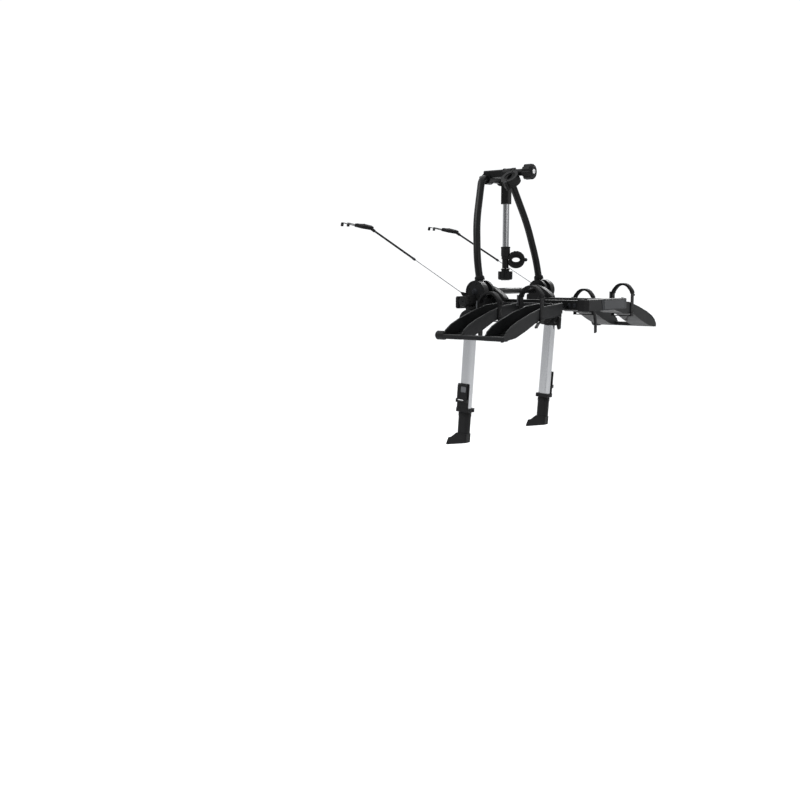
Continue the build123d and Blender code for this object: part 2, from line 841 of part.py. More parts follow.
clamp_top = collar_bottom - clamp_rise
lever_pivot_drop = collar_bottom - lever_rise
slider_top = collar_bottom - slider_in
slider_bottom = collar_bottom + slider_out
panel_low = lever_pivot_drop - panel_rise
slope = math.radians(leg_lean)
leg_frame = Plane((leg_x, leg_pivot_y, leg_pivot_z), x_dir=(1, 0, 0),
                  z_dir=(0, -math.sin(slope), math.cos(slope)))
clamp_inner = tube_wide / 2 + slide_gap
clamp_outer = clamp_inner + clamp_plate
lever_x = clamp_outer + slide_gap + leg_lever_thick / 2
lever_half = tube_deep / 2 - clamp_ear_wide - slide_gap


def leg_head():
    half = head_width / 2
    head = rod_x(0, 0, head_radius, -half, half)
    head += block(-half, half, -head_side / 2, head_side / 2, -head_reach, 0, edge_round)
    tail = face_of([(y * head_radius, z * head_radius) for y, z in tail_shares])
    head += prism_x(tail, -tail_width / 2, tail_width / 2)
    head -= rod_x(0, 0, leg_pin_radius + run_gap, -half - overrun, half + overrun)
    pocket = oval(tube_wide + 2 * run_gap, tube_deep + 2 * run_gap)
    return leg_frame * (head - prism_z(pocket, -head_radius - overrun, -tube_top))


def leg_tube():
    section = oval(tube_wide, tube_deep) - oval(tube_wide - 2 * tube_wall,
                                                tube_deep - 2 * tube_wall)
    return leg_frame * prism_z(section, -collar_bottom + edge_round, -tube_top)


def leg_collar():
    collar = block(-collar_wide / 2, collar_wide / 2, -collar_deep / 2, collar_deep / 2,
                   -collar_bottom, -collar_bottom + collar_height, edge_round)
    collar += block(clamp_inner, clamp_outer, -tube_deep / 2, tube_deep / 2,
                    -collar_bottom, -clamp_top)
    ear_low = -lever_pivot_drop - clamp_ear_high / 2
    ear = block(clamp_outer - overrun, clamp_outer + clamp_ear, tube_deep / 2 - clamp_ear_wide,
                tube_deep / 2, ear_low, ear_low + clamp_ear_high)
    collar += ear + mirror(ear, about=Plane.XZ)
    collar -= rod_y(lever_x, -lever_pivot_drop, leg_lever_pin + run_gap, -tube_deep, tube_deep)
    collar -= prism_z(oval(tube_wide + 2 * run_gap, tube_deep + 2 * run_gap),
                      -collar_bottom + edge_round, -clamp_top + overrun)
    collar -= prism_z(oval(slider_wide + 2 * slide_gap, slider_deep + 2 * slide_gap),
                      -collar_bottom - overrun, -collar_bottom + collar_height)
    return leg_frame * collar


def leg_lever():
    half = leg_lever_thick / 2
    top = -clamp_top - lever_top_gap
    lever = block(lever_x - half, lever_x + half, -lever_half, lever_half,
                  -lever_pivot_drop, top, edge_round / 2, Axis.X)
    lever += rod_y(lever_x, -lever_pivot_drop, half, -lever_half, lever_half)
    lever -= block(lever_x + half - panel_depth, lever_x + half + overrun,
                   -panel_back - panel_width / 2, -panel_back + panel_width / 2,
                   -panel_low, -panel_low + panel_length)
    lever += rod_y(lever_x, -lever_pivot_drop, leg_lever_pin, -tube_deep / 2, tube_deep / 2)
    return leg_frame * lever


def leg_slider():
    section = oval(slider_wide, slider_deep) - oval(slider_wide - 2 * slider_wall,
                                                    slider_deep - 2 * slider_wall)
    return leg_frame * prism_z(section, -slider_bottom, -slider_top)


# Foot: a boot on the slider with a rubber pad on its toe
foot_width = 35
foot_wall = 4
sleeve_gap = 3            # collar to the sleeve of the foot
heel_back = 23
heel_drop = 34            # below the end of the slider, like the next two
toe_reach = 52
toe_drop = 26
tip_reach = 62
tip_drop = 54
sole_round = 6
foot_pad_thick = 6

foot_half = foot_width / 2
toe_top = (toe_reach, -slider_bottom - toe_drop)
toe_tip = (tip_reach, -slider_bottom - tip_drop)


def foot():
    sleeve_top = -collar_bottom - sleeve_gap
    sleeve = prism_z(oval(slider_wide + 2 * foot_wall, slider_deep + 2 * foot_wall),
                     -slider_bottom - overrun, sleeve_top)
    sole = face_of([
        (-heel_back, -slider_bottom),
        (heel_back, -slider_bottom),
        toe_top,
        toe_tip,
        (-heel_back, -slider_bottom - heel_drop),
    ])
    sole = prism_x(sole, -foot_half, foot_half)
    heel_edges = sole.edges().filter_by(Axis.Z).group_by(Axis.Y)[0]
    boot = sleeve + fillet(heel_edges, sole_round)
    boot -= prism_z(oval(slider_wide + 2 * run_gap, slider_deep + 2 * run_gap),
                    -slider_bottom, sleeve_top + overrun)
    return leg_frame * boot


def foot_pad():
    along = Vector(*toe_tip) - Vector(*toe_top)
    out = Vector(-along.Y, along.X).normalized() * foot_pad_thick
    corners = [Vector(*toe_top), Vector(*toe_tip), Vector(*toe_tip) + out, Vector(*toe_top) + out]
    return leg_frame * prism_x(face_of(corners), -foot_half, foot_half)


save_pair("leg_head", leg_head())
save_pair("leg_tube", leg_tube())
save_pair("leg_collar", leg_collar())
save_pair("leg_lever", leg_lever())
save_pair("leg_slider", leg_slider())
save_pair("foot", foot())
save_pair("foot_pad", foot_pad())
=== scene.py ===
import bpy
import bmesh
import json
from math import radians, degrees, sin, cos, pi, atan2
from mathutils import Matrix, Vector


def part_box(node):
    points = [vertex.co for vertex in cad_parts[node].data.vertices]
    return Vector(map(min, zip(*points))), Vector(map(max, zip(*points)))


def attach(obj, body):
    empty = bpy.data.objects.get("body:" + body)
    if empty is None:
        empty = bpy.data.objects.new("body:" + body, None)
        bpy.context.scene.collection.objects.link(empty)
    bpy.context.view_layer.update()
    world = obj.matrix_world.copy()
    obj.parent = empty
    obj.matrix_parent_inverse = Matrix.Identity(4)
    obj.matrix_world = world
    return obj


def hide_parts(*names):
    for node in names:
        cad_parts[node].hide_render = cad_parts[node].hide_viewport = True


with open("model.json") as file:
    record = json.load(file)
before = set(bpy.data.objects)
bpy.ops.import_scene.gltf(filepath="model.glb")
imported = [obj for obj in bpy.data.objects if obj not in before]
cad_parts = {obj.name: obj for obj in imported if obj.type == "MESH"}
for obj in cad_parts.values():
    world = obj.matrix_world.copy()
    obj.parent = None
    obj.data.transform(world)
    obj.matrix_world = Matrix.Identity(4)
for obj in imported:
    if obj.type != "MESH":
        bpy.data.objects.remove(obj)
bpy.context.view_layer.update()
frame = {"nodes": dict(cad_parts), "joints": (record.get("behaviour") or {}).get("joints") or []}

# Sizes are in millimetres here and turned to metres as they are used.
mm = 0.001


def selectNothing():
    bpy.ops.object.select_all(action="DESELECT")


def selectOnly(piece):
    selectNothing()
    piece.select_set(True)
    bpy.context.view_layer.objects.active = piece


# Camera, fitted to the photo. Place in metres, angles in degrees.

cameraSet = {
    "place": (-3.3005, -2.199, 0.122),
    "heading": 50.74,                   # from +Y towards +X
    "pitch": 7.527,                     # below level
    "roll": -0.073,
    "lens": 44.34, "sensor": 36,        # square frame
}


def setCamera(values):
    data = bpy.data.cameras.new("photoCamera")
    data.lens = values["lens"]
    data.sensor_width = values["sensor"]
    data.clip_end = 100
    camera = bpy.data.objects.new("photoCamera", data)
    bpy.context.collection.objects.link(camera)
    turn = Matrix.Rotation(radians(-values["heading"]), 4, "Z")
    tilt = Matrix.Rotation(radians(90 - values["pitch"]), 4, "X")
    roll = Matrix.Rotation(radians(values["roll"]), 4, "Z")
    camera.matrix_world = Matrix.Translation(values["place"]) @ turn @ tilt @ roll
    bpy.context.scene.camera = camera
    bpy.context.scene.view_settings.view_transform = "Standard"


setCamera(cameraSet)
print("camera set")


# Hook cables, pulled tight between the hub and the hook

cableSet = {
    # right cable, in metres: face of the nozzle, middle, end inside the ferrule
    "route": [(0.289, -0.0426, 0.0328), (0.289, 0.1811, 0.1573), (0.289, 0.4048, 0.2818)],
    "diameter": 0.003,
    "length": 0.512,
}


def makeCable(side, flip, values):
    path = [(x * flip, y, z) for x, y, z in values["route"]]
    curve = bpy.data.curves.new(f"wire_{side}", "CURVE")
    curve.dimensions = "3D"
    curve.bevel_depth = values["diameter"] / 2
    curve.bevel_resolution = 4
    curve.use_fill_caps = True
    spline = curve.splines.new("NURBS")
    spline.points.add(len(path) - 1)
    for point, place in zip(spline.points, path):
        point.co = (*place, 1)
    spline.order_u = 3
    spline.use_endpoint_u = True
    wire = bpy.data.objects.new(f"wire_{side}", curve)
    bpy.context.collection.objects.link(wire)
    selectOnly(wire)
    bpy.ops.object.convert(target="MESH")
    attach(wire, "hub")
    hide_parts(f"cable_{side}")
    return wire


wires = [makeCable(side, flip, cableSet) for side, flip in (("right", 1), ("left", -1))]
print("cables set")


# Studio: a white floor, three lamps and a sky

studioSet = {
    "floorHeight": -1157, "floorSize": 60000,
    "floorColours": ("#FAFAFA", "#F4F4F5"),
    "skyColour": "#FBFCFD",
    # bright behind the rack, dim behind the camera, and brightest overhead
    "skyAhead": (0.774, 0.633, 0), "aheadSpan": (-0.3, 0.5), "skyStrength": (0.3, 1.08),
    "overheadSpan": (0.25, 1), "skyOverhead": 0.95,
    # name: place in metres, diameter in metres, watts
    "lamps": {
        "keyLamp": ((-3.2, 1.2, 3.4), 2.4, 120),
        "fillLamp": ((-1.2, -4.2, 1.6), 3.0, 40),
        "rimLamp": ((3.0, 0.6, 2.2), 1.6, 90),
    },
    "aim": (0, -0.1, 0.05),             # the middle of the rack, in metres
}


def toLinear(hexColour):
    shares = [int(hexColour[i:i + 2], 16) / 255 for i in (1, 3, 5)]
    return [s / 12.92 if s <= 0.04045 else ((s + 0.055) / 1.055) ** 2.4 for s in shares] + [1]


def setInputs(tree, node, inputs):
    # another node's output goes in by a link, anything else as a value
    for socket, value in inputs.items():
        if isinstance(value, bpy.types.NodeSocket):
            tree.links.new(value, node.inputs[socket])
        else:
            node.inputs[socket].default_value = value


def addNode(tree, kind, settings, inputs):
    made = tree.nodes.new(kind)
    for name, value in settings.items():
        setattr(made, name, value)
    setInputs(tree, made, inputs)
    return made


def addNoise(tree, coords, scale, detail):
    return addNode(tree, "ShaderNodeTexNoise", {},
                   {"Vector": coords, "Scale": scale, "Detail": detail}).outputs[0]


def addMixture(tree, share, first, second):
    return addNode(tree, "ShaderNodeMix", {"data_type": "RGBA"},
                   {0: share, 6: toLinear(first), 7: toLinear(second)}).outputs[2]


def addRange(tree, value, fromSpan, toSpan):
    return addNode(tree, "ShaderNodeMapRange", {},
                   {0: value, 1: fromSpan[0], 2: fromSpan[1], 3: toSpan[0],
                    4: toSpan[1]}).outputs[0]


def addBlend(tree, fine, share, coarse):
    # fine noise laid on coarse noise
    return addNode(tree, "ShaderNodeMath", {"operation": "MULTIPLY_ADD"},
                   {0: fine, 1: share, 2: coarse}).outputs[0]


def addBump(tree, height, strength, depth):
    return addNode(tree, "ShaderNodeBump", {}, {"Height": height, "Strength": strength,
                                               "Distance": depth * mm}).outputs[0]


def newMaterial(name, inputs):
    material = bpy.data.materials.new(name)
    material.use_nodes = True
    tree = material.node_tree
    shader = tree.nodes["Principled BSDF"]
    setInputs(tree, shader, inputs)
    coords = addNode(tree, "ShaderNodeTexCoord", {}, {}).outputs["Object"]
    return material, tree, shader, coords


def makeFloor(values):
    selectNothing()
    bpy.ops.mesh.primitive_plane_add(size=values["floorSize"] * mm,
                                     location=(0, 0, values["floorHeight"] * mm))
    floor = bpy.context.object
    floor.name = "paleFloor"
    material, tree, shader, coords = newMaterial("paintedFloor", {"Roughness": 0.85})
    paint = addMixture(tree, addNoise(tree, coords, 0.8, 3), *values["floorColours"])
    setInputs(tree, shader, {"Base Color": paint})
    floor.data.materials.append(material)


def addLamps(values):
    for name, (place, size, watts) in values["lamps"].items():
        data = bpy.data.lights.new(name, "AREA")
        data.shape = "DISK"
        data.size = size
        data.energy = watts
        lamp = bpy.data.objects.new(name, data)
        bpy.context.collection.objects.link(lamp)
        lamp.location = place
        way = Vector(values["aim"]) - Vector(place)
        lamp.rotation_euler = way.to_track_quat("-Z", "Y").to_euler()


def facing(tree, sight, way):
    # 1 where the sight goes that way, -1 where it goes the other way
    return addNode(tree, "ShaderNodeVectorMath", {"operation": "DOT_PRODUCT"},
                   {0: sight, 1: way}).outputs["Value"]


def makeSky(values):
    world = bpy.data.worlds.new("studioSky")
    world.use_nodes = True
    tree = world.node_tree
    sight = addNode(tree, "ShaderNodeTexCoord", {}, {}).outputs["Generated"]
    ahead = addRange(tree, facing(tree, sight, values["skyAhead"]), values["aheadSpan"],
                     values["skyStrength"])
    above = addRange(tree, facing(tree, sight, (0, 0, 1)), values["overheadSpan"],
                     (0, values["skyOverhead"]))
    total = addNode(tree, "ShaderNodeMath", {"operation": "ADD"}, {0: ahead, 1: above})
    setInputs(tree, tree.nodes["Background"], {"Color": toLinear(values["skyColour"]),
                                               "Strength": total.outputs[0]})
    bpy.context.scene.world = world


makeFloor(studioSet)
addLamps(studioSet)
makeSky(studioSet)
print("studio set")


# Materials, on Object coordinates. Sizes in the tables are in millimetres.

def grainScale(size):
    # Noise at scale 1 has features about one metre across.
    return 1 / (size * mm)


# tones of the hollows and the tops, roughness from and to, size of the grain, depth of its bump
finishes = {
    # Polyamide, moulded in a spark-eroded tool: soft sheen, grain drawn coarse enough to see.
    "mouldedNylon": ("#080809", "#0E0E0F", (0.42, 0.58), 2.2, 0.12),
    # The same, a shade lighter, for the trays; on the leg head rims this paler tone is a painted
    # highlight.
    "greyNylonAndRimHighlight": ("#0E0F10", "#161718", (0.45, 0.6), 2.6, 0.12),
    # ABS: the beam's satin covers and plate, the buckles, and the grey panel of the leg lever.
    "coverAbs": ("#262729", "#2E2F31", (0.4, 0.52), 3, 0.08),
    "plateAbs": ("#303133", "#38393B", (0.3, 0.38), 6, 0.04),
    "buckleAbs": ("#3A3B3D", "#48494C", (0.36, 0.46), 3, 0.06),
    "panelAbs": ("#4C4D4F", "#58595C", (0.36, 0.48), 4, 0.04),
    # Steel with a powder coat: wide orange peel and an even gloss.
    "powderCoatedSteel": ("#090A0A", "#101011", (0.3, 0.4), 3.5, 0.1),
    # Thermoplastic rubber: dull, with a faint bloom.
    "mouldedRubber": ("#09090A", "#111112", (0.7, 0.86), 1.8, 0.1),
}


def mouldedFinish(name, values):
    dark, pale, rough, grainSize, depth = values
    material, tree, shader, coords = newMaterial(name, {"IOR": 1.5, "Specular IOR Level": 0.16})
    grain = addNoise(tree, coords, grainScale(grainSize), 3)
    blend = addBlend(tree, grain, 0.35, addNoise(tree, coords, grainScale(70), 4))
    ramp = addNode(tree, "ShaderNodeValToRGB", {}, {0: blend})
    for stop, place, tone in zip(ramp.color_ramp.elements, (0.42, 0.95), (dark, pale)):
        stop.position = place
        stop.color = toLinear(tone)
    setInputs(tree, shader, {"Base Color": ramp.outputs[0],
                             "Roughness": addRange(tree, blend, (0.3, 1), rough),
                             "Normal": addBump(tree, grain, 0.6, depth)})
    return material


materials = {name: mouldedFinish(name, values) for name, values in finishes.items()}

# tones, roughness from and to, size of the grain along X, Y and Z
metalFinishes = {
    # Extruded tube, anodised: pale and satin, with faint die lines along it.
    "anodisedAluminium": ("#98999B", "#A5A6A8", (0.16, 0.22), (0.9, 0.9, 260)),
    "blackAnodisedAluminium": ("#17181A", "#26272A", (0.3, 0.42), (0.9, 0.9, 260)),
    # Bolts and pins, oiled black: dark, with a dull metal sheen on the corners.
    "blackenedSteel": ("#1C1D1F", "#2C2D30", (0.34, 0.5), (2, 2, 2)),
    # Wire rope, greyed by its grease.
    "wireRope": ("#4A4B4E", "#5C5D60", (0.45, 0.6), (2, 2, 30)),
    # Zinc plate, buffed bright on the locks.
    "polishedZinc": ("#D2D3D4", "#E6E6E6", (0.12, 0.2), (3, 3, 3)),
}


def metalFinish(name, values):
    dark, pale, rough, stretch = values
    material, tree, shader, coords = newMaterial(name, {"Metallic": 1.0})
    drawn = addNode(tree, "ShaderNodeMapping", {},
                    {"Vector": coords, "Scale": [grainScale(size) for size in stretch]})
    lines = addNoise(tree, drawn.outputs[0], 1, 2)
    blend = addBlend(tree, lines, 0.6, addNoise(tree, coords, grainScale(60), 3))
    setInputs(tree, shader, {"Base Color": addMixture(tree, blend, dark, pale),
                             "Roughness": addRange(tree, blend, (0.4, 1.2), rough),
                             "Normal": addBump(tree, lines, 0.12, 0.03)})
    return material


materials.update({name: metalFinish(name, values) for name, values in metalFinishes.items()})

nodeFinish = {
    "powderCoatedSteel": ["cross_axle", "arch_tube", "arch_lugs", "side_arm", "hook_plate",
                          "short_arm", "long_arm_bracket"],
    "mouldedNylon": ["hub_housing", "tension_knob", "claw_body", "claw_jaw", "claw_knob",
                     "leg_head", "leg_collar", "leg_lever", "foot_left", "foot_right",
                     "wheel_strap", "rear_beam"],
    "greyNylonAndRimHighlight": ["tray_wing"],
    "plateAbs": ["label_plate"],
    "buckleAbs": ["buckle_lever"],
    "mouldedRubber": ["upper_pads", "cable_sleeve", "hook_cover", "claw_liner", "foot_pad"],
    "anodisedAluminium": ["leg_tube", "long_arm_tube"],
    "blackAnodisedAluminium": ["leg_slider"],
    "blackenedSteel": ["leg_pivot_pins", "claw_pin", "wing_hinge_rods"],
    "wireRope": ["cable_left", "cable_right"],
}


def dressNode(piece, material):
    piece.data.materials.clear()
    piece.data.materials.append(material)


for finish, names in nodeFinish.items():
    for name, piece in frame["nodes"].items():
        if any(part in name for part in names):
            dressNode(piece, materials[finish])
for wire in wires:
    dressNode(wire, materials["wireRope"])
print("materials set")


# Modelling helpers. A ring is given as inner and outer radius, low and high, a cap as radius,
# height, radius and depth of its recess, and a bolt as width across flats, height and washer.

def placeAt(piece, place):
    piece.matrix_world = place
    selectOnly(piece)
    bpy.ops.object.transform_apply(location=True, rotation=True, scale=True)
    return piece


def addBlock(name, low, high):
    # a box between two corners, ready to be shaped
    selectNothing()
    middle = [(a + b) / 2 * mm for a, b in zip(low, high)]
    bpy.ops.mesh.primitive_cube_add(size=1, location=middle)
    piece = bpy.context.object
    piece.name = name
    piece.scale = [(b - a) * mm for a, b in zip(low, high)]
    bpy.ops.object.transform_apply(location=True, rotation=True, scale=True)
    return piece


def editParts(piece, kind, pick):
    # edit mode, with only those vertices, edges or faces selected that pick says
    selectOnly(piece)
    bpy.ops.object.mode_set(mode="EDIT")
    bpy.ops.mesh.select_mode(type=kind)
    bpy.ops.mesh.select_all(action="DESELECT")
    shape = bmesh.from_edit_mesh(piece.data)
    for part in {"VERT": shape.verts, "EDGE": shape.edges, "FACE": shape.faces}[kind]:
        part.select_set(bool(pick(part)))
    bmesh.update_edit_mesh(piece.data)


def editFaces(piece, test):
    # the test gets the face's middle and normal
    editParts(piece, "FACE", lambda face: test(face.calc_center_median() / mm, face.normal))


def editEdges(piece, test):
    # the test gets the edge's middle and direction
    def pick(edge):
        first, second = [corner.co / mm for corner in edge.verts]
        return test((first + second) / 2, (second - first).normalized())
    editParts(piece, "EDGE", pick)


def editCorners(piece, test):
    editParts(piece, "VERT", lambda corner: test(corner.co / mm))


def leaveEdit():
    bpy.ops.object.mode_set(mode="OBJECT")


def bevelEdges(piece, test, width, segments):
    editEdges(piece, test)
    bpy.ops.mesh.bevel(offset=width * mm, segments=segments, affect="EDGES")
    leaveEdit()


def roundEdges(piece, width, segments=2):
    selectOnly(piece)
    bpy.ops.object.modifier_add(type="BEVEL")
    bevel = piece.modifiers[-1]
    bevel.width = width * mm
    bevel.segments = segments
    bevel.limit_method = "ANGLE"
    bevel.angle_limit = radians(35)
    bpy.ops.object.modifier_apply(modifier=bevel.name)
    return piece


def extrudeAlong(line):
    # what is selected, extruded from point to point
    for start, end in zip(line, line[1:]):
        step = (Vector(end) - Vector(start)) * mm
        bpy.ops.mesh.extrude_region_move(TRANSFORM_OT_translate={"value": step})


def insetFaces(thickness, move=(0, 0, 0)):
    # the selected faces, inset and then moved
    bpy.ops.mesh.inset(thickness=thickness * mm)
    bpy.ops.transform.translate(value=Vector(move) * mm)


def drawLine(name, line):
    # a line of corners, drawn from one point and left in edit mode, all selected
    selectNothing()
    bpy.ops.mesh.primitive_plane_add(size=mm)
    piece = bpy.context.object
    piece.name = name
    bpy.ops.object.mode_set(mode="EDIT")
    bpy.ops.mesh.select_mode(type="VERT")
    bpy.ops.mesh.select_all(action="SELECT")
    bpy.ops.mesh.merge(type="CENTER")
    bpy.ops.transform.translate(value=Vector(line[0]) * mm)
    extrudeAlong(line)
    bpy.ops.mesh.select_all(action="SELECT")
    return piece


def turnPiece(name, profile, steps):
    # an outline of (radius, height) points, spun round Z
    piece = drawLine(name, [(radius, 0, height) for radius, height in profile])
    bpy.ops.mesh.spin(steps=steps, angle=2 * pi, center=(0, 0, 0), axis=(0, 0, 1))
    bpy.ops.mesh.select_all(action="SELECT")
    bpy.ops.mesh.remove_doubles(threshold=0.01 * mm)
    bpy.ops.mesh.normals_make_consistent(inside=False)
    leaveEdit()
    return piece


def turnedRing(name, inner, outer, low, high, edge, steps):
    outline = [(inner, low), (outer - edge, low), (outer, low + edge), (outer, high - edge),
               (outer - edge, high), (inner, high), (inner, low)]
    return turnPiece(name, outline, steps)


def turnedCap(name, radius, height, recess, depth, edge, steps):
    outline = [(0, 0), (radius, 0), (radius, height - edge), (radius - edge, height),
               (recess + edge, height), (recess, height - edge), (recess, height - depth),
               (0, height - depth)]
    return turnPiece(name, outline, steps)


def hexBolt(name, across, height, washer):
    selectNothing()
    bpy.ops.mesh.primitive_cylinder_add(vertices=6, radius=across / 2 / cos(pi / 6) * mm,
                                        depth=height * mm, location=(0, 0, height / 2 * mm))
    head = bpy.context.object
    editFaces(head, lambda middle, way: way.z > 0.9)
    insetFaces(across * 0.1, (0, 0, height * 0.12))
    leaveEdit()
    placeAt(head, Matrix())
    roundEdges(head, across * 0.03)
    ring = turnedRing("washer", across * 0.2, washer, -0.2, 1.3, 0.4, 24)
    return joinPieces(name, [head, ring])


def joinPieces(name, pieces):
    selectNothing()
    for piece in pieces:
        piece.select_set(True)
    bpy.context.view_layer.objects.active = pieces[0]
    if len(pieces) > 1:
        bpy.ops.object.join()
    pieces[0].name = name
    pieces[0].data.name = name
    return pieces[0]


def scatter(name, piece, places):
    # one model, copied to each place, and joined
    copies = []
    for place in places:
        selectOnly(piece)
        bpy.ops.object.duplicate()
        copies.append(placeAt(bpy.context.object, place))
    bpy.data.objects.remove(piece, do_unlink=True)
    return joinPieces(name, copies)


def mirrorPiece(piece, name):
    selectOnly(piece)
    bpy.ops.object.duplicate()
    copy = bpy.context.object
    copy.name = name
    copy.data.name = name
    copy.scale = (-1, 1, 1)
    bpy.ops.object.transform_apply(location=True, rotation=True, scale=True)
    bpy.ops.object.mode_set(mode="EDIT")
    bpy.ops.mesh.select_all(action="SELECT")
    bpy.ops.mesh.normals_make_consistent(inside=False)
    leaveEdit()
    return copy


def finishPiece(piece, body, finish):
    selectOnly(piece)
    bpy.ops.object.shade_smooth_by_angle(angle=radians(32))
    dressNode(piece, materials[finish])
    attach(piece, body)


def finishSteel(piece, body):
    finishPiece(piece, body, "blackenedSteel")


def finishPair(piece, body, finish):
    # the piece is the right-hand one; the word side in a body's name stands for either
    name = piece.name
    copy = mirrorPiece(piece, f"{name}_left")
    piece.name = f"{name}_right"
    finishPiece(piece, body.replace("side", "right"), finish)
    finishPiece(copy, body.replace("side", "left"), finish)


def finishSteelPair(piece, body):
    finishPair(piece, body, "blackenedSteel")


def frameAt(place, xWay, zWay):
    # a local frame: its place in millimetres, its X and its Z
    zWay = Vector(zWay).normalized()
    xWay = Vector(xWay)
    xWay = (xWay - zWay * xWay.dot(zWay)).normalized()
    yWay = zWay.cross(xWay)
    turn = Matrix((xWay, yWay, zWay)).transposed().to_4x4()
    return Matrix.Translation(Vector(place) * mm) @ turn


def shift(x, y, z):
    return Matrix.Translation(Vector((x, y, z)) * mm)


def turnX(angle):
    return Matrix.Rotation(radians(angle), 4, "X")


def turnY(angle):
    return Matrix.Rotation(radians(angle), 4, "Y")


def turnZ(angle):
    return Matrix.Rotation(radians(angle), 4, "Z")


def nodeBox(name):
    low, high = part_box(name)
    return Vector(low) / mm, Vector(high) / mm


joints = {joint["name"]: joint for joint in frame["joints"]}


def jointPlace(name):
    return Vector(joints[name]["pos_m"]) / mm


def jointWay(name):
    return Vector(joints[name]["axis"]).normalized()


# Hubs: cover ring and screws, the pad, the boot on the cable's nozzle

hubSet = {
    "faceFromSpool": 43.5,                   # outer face of the housing, behind the spool's boss
    "coverRing": (35.5, 40.5, -1, 1.6),
    "screwCircle": 30, "screwAngles": (20, 95, 168, 215),    # degrees from the front
    "screw": (4.2, 2.2, 2.2, 1.4), "centreBolt": (19, 5, 14),
    "padWide": 60, "padEdge": 8, "padInsets": (2.4, 2), "padRise": 0.8,
    "padRibs": 5, "padRibMargin": 12,
    "padRibSize": (46, 3.6, 1.6),            # length, width, how far it stands out
    # boot outline along the cable: radius and distance from the spool's axis
    "nozzleFromSpool": 30,
    "boot": [(5.1, 19), (8.4, 19), (8.8, 20), (8.6, 22), (6.9, 23), (8, 24.2), (7.9, 25.6),
             (6.2, 26.6), (7.2, 27.8), (7, 29.2), (5.4, 30.2), (6.2, 31.4), (5.9, 32.8),
             (4.4, 33.8), (5, 35), (4.7, 36.2), (3.4, 37.2), (3.2, 40), (1.7, 41), (1.7, 30.5),
             (5.1, 30.3), (5.1, 19)],
}

hubPlace = jointPlace("arch_fold")
spoolPlace = jointPlace("tension_knob_turn_right")
hubOut = frameAt((spoolPlace.x - hubSet["faceFromSpool"], hubPlace.y, hubPlace.z), (0, 1, 0),
                 (1, 0, 0))
nozzle, ferrule = [Vector(cableSet["route"][end]) / mm for end in (0, -1)]
cableWay = (ferrule - nozzle).normalized()


def makeHubCover(values):
    ring = turnedRing("hub_cover_ring", *values["coverRing"], 0.6, 64)
    finishPair(placeAt(ring, hubOut), "hub", "mouldedNylon")
    screw = turnedCap("screw", *values["screw"], 0.4, 20)
    circle = [hubOut @ turnZ(angle) @ shift(values["screwCircle"], 0, -0.4)
              for angle in values["screwAngles"]]
    finishSteelPair(scatter("hub_screws", screw, circle), "hub")
    bolt = hexBolt("hub_centre_bolt", *values["centreBolt"])
    finishSteelPair(placeAt(bolt, hubOut), "hub")


def makePads(values):
    low, high = nodeBox("upper_pads")
    wide, count = values["padWide"], values["padRibs"]
    long, thick, proud = values["padRibSize"]
    inset, secondInset = values["padInsets"]
    pad = addBlock("upper_pad", (high.x - wide, low.y, low.z), (high.x, high.y - proud, high.z))
    bevelEdges(pad, lambda middle, way: abs(way.y) > 0.9, values["padEdge"], 5)
    editFaces(pad, lambda middle, way: way.y > 0.9)
    insetFaces(inset, (0, values["padRise"], 0))
    insetFaces(secondInset)
    leaveEdit()
    roundEdges(pad, 0.7)
    x, z = high.x - wide / 2, (low.z + high.z) / 2
    rib = addBlock("rib", (-long / 2, -1, -thick / 2), (long / 2, proud, thick / 2))
    roundEdges(rib, 0.8)
    pitch = (high.z - low.z - values["padRibMargin"]) / count
    rows = [shift(x, high.y - proud, z + pitch * (row - (count - 1) / 2)) for row in range(count)]
    right = joinPieces("padRight", [pad, scatter("ribs", rib, rows)])
    left = mirrorPiece(right, "padLeft")
    pads = joinPieces("upper_pads_ribbed", [right, left])
    finishPiece(pads, "hub", "mouldedRubber")
    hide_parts("upper_pads")


def makeBoots(values):
    start = nozzle - cableWay * values["nozzleFromSpool"]
    boot = turnPiece("cable_boot", values["boot"], 24)
    finishPair(placeAt(boot, frameAt(start, (1, 0, 0), cableWay)), "hub",
               "mouldedRubber")


makeHubCover(hubSet)
makePads(hubSet)
makeBoots(hubSet)
print("hubs detailed")


# Tension knobs: a pressed cap with a ring, in the outer face

tensionSet = {"grip": 18.5, "cap": (13, 1.6, 9.5, 1), "button": (6, 2.2, 2.6, 1.6)}


def makeTensionCap(values):
    face = frameAt((spoolPlace.x + values["grip"], spoolPlace.y, spoolPlace.z), (0, 1, 0),
                   (1, 0, 0))
    cap = placeAt(turnedCap("tension_knob_cap", *values["cap"], 0.4, 40), face)
    button = placeAt(turnedCap("button", *values["button"], 0.5, 32), face)
    finishPair(joinPieces(cap.name, [cap, button]), "tension_knob_side", "greyNylonAndRimHighlight")


makeTensionCap(tensionSet)


# Hooks: ribs and rivets on the soft cover, dipped tips on the fingers, crimp on the sleeve

hookSet = {
    "tilt": 12,                              # degrees up from level
    "coverTop": 11,
    "ribs": 5, "ribStart": 28, "ribPitch": 5.5, "ribSize": (30, 2.4, 1),
    "rivets": ((-19, 62), (19, 62)),
    "rivet": [(0, -0.5), (3.4, -0.5), (3.4, 0.2), (2.924, 0.9), (1.7, 1.395), (0, 1.5)],
    # sides of the two fingers, and a tip's half width, back, front, low and high
    "fingers": (18, -18), "tip": (7, 143.4, 148.4, -15, -1.6),
    # the crimp round the sleeve's lower end, and how far back along the cable that is
    "crimp": [(1.8, -2), (4.2, -2), (5.2, 0), (5.2, 2.5), (4.5, 3.5), (4.5, 5), (5.2, 6),
              (5.2, 9), (4.7, 10), (4.1, 10), (4.1, -0.2), (1.8, -0.4), (1.8, -2)],
    "crimpBack": 248.3,
}


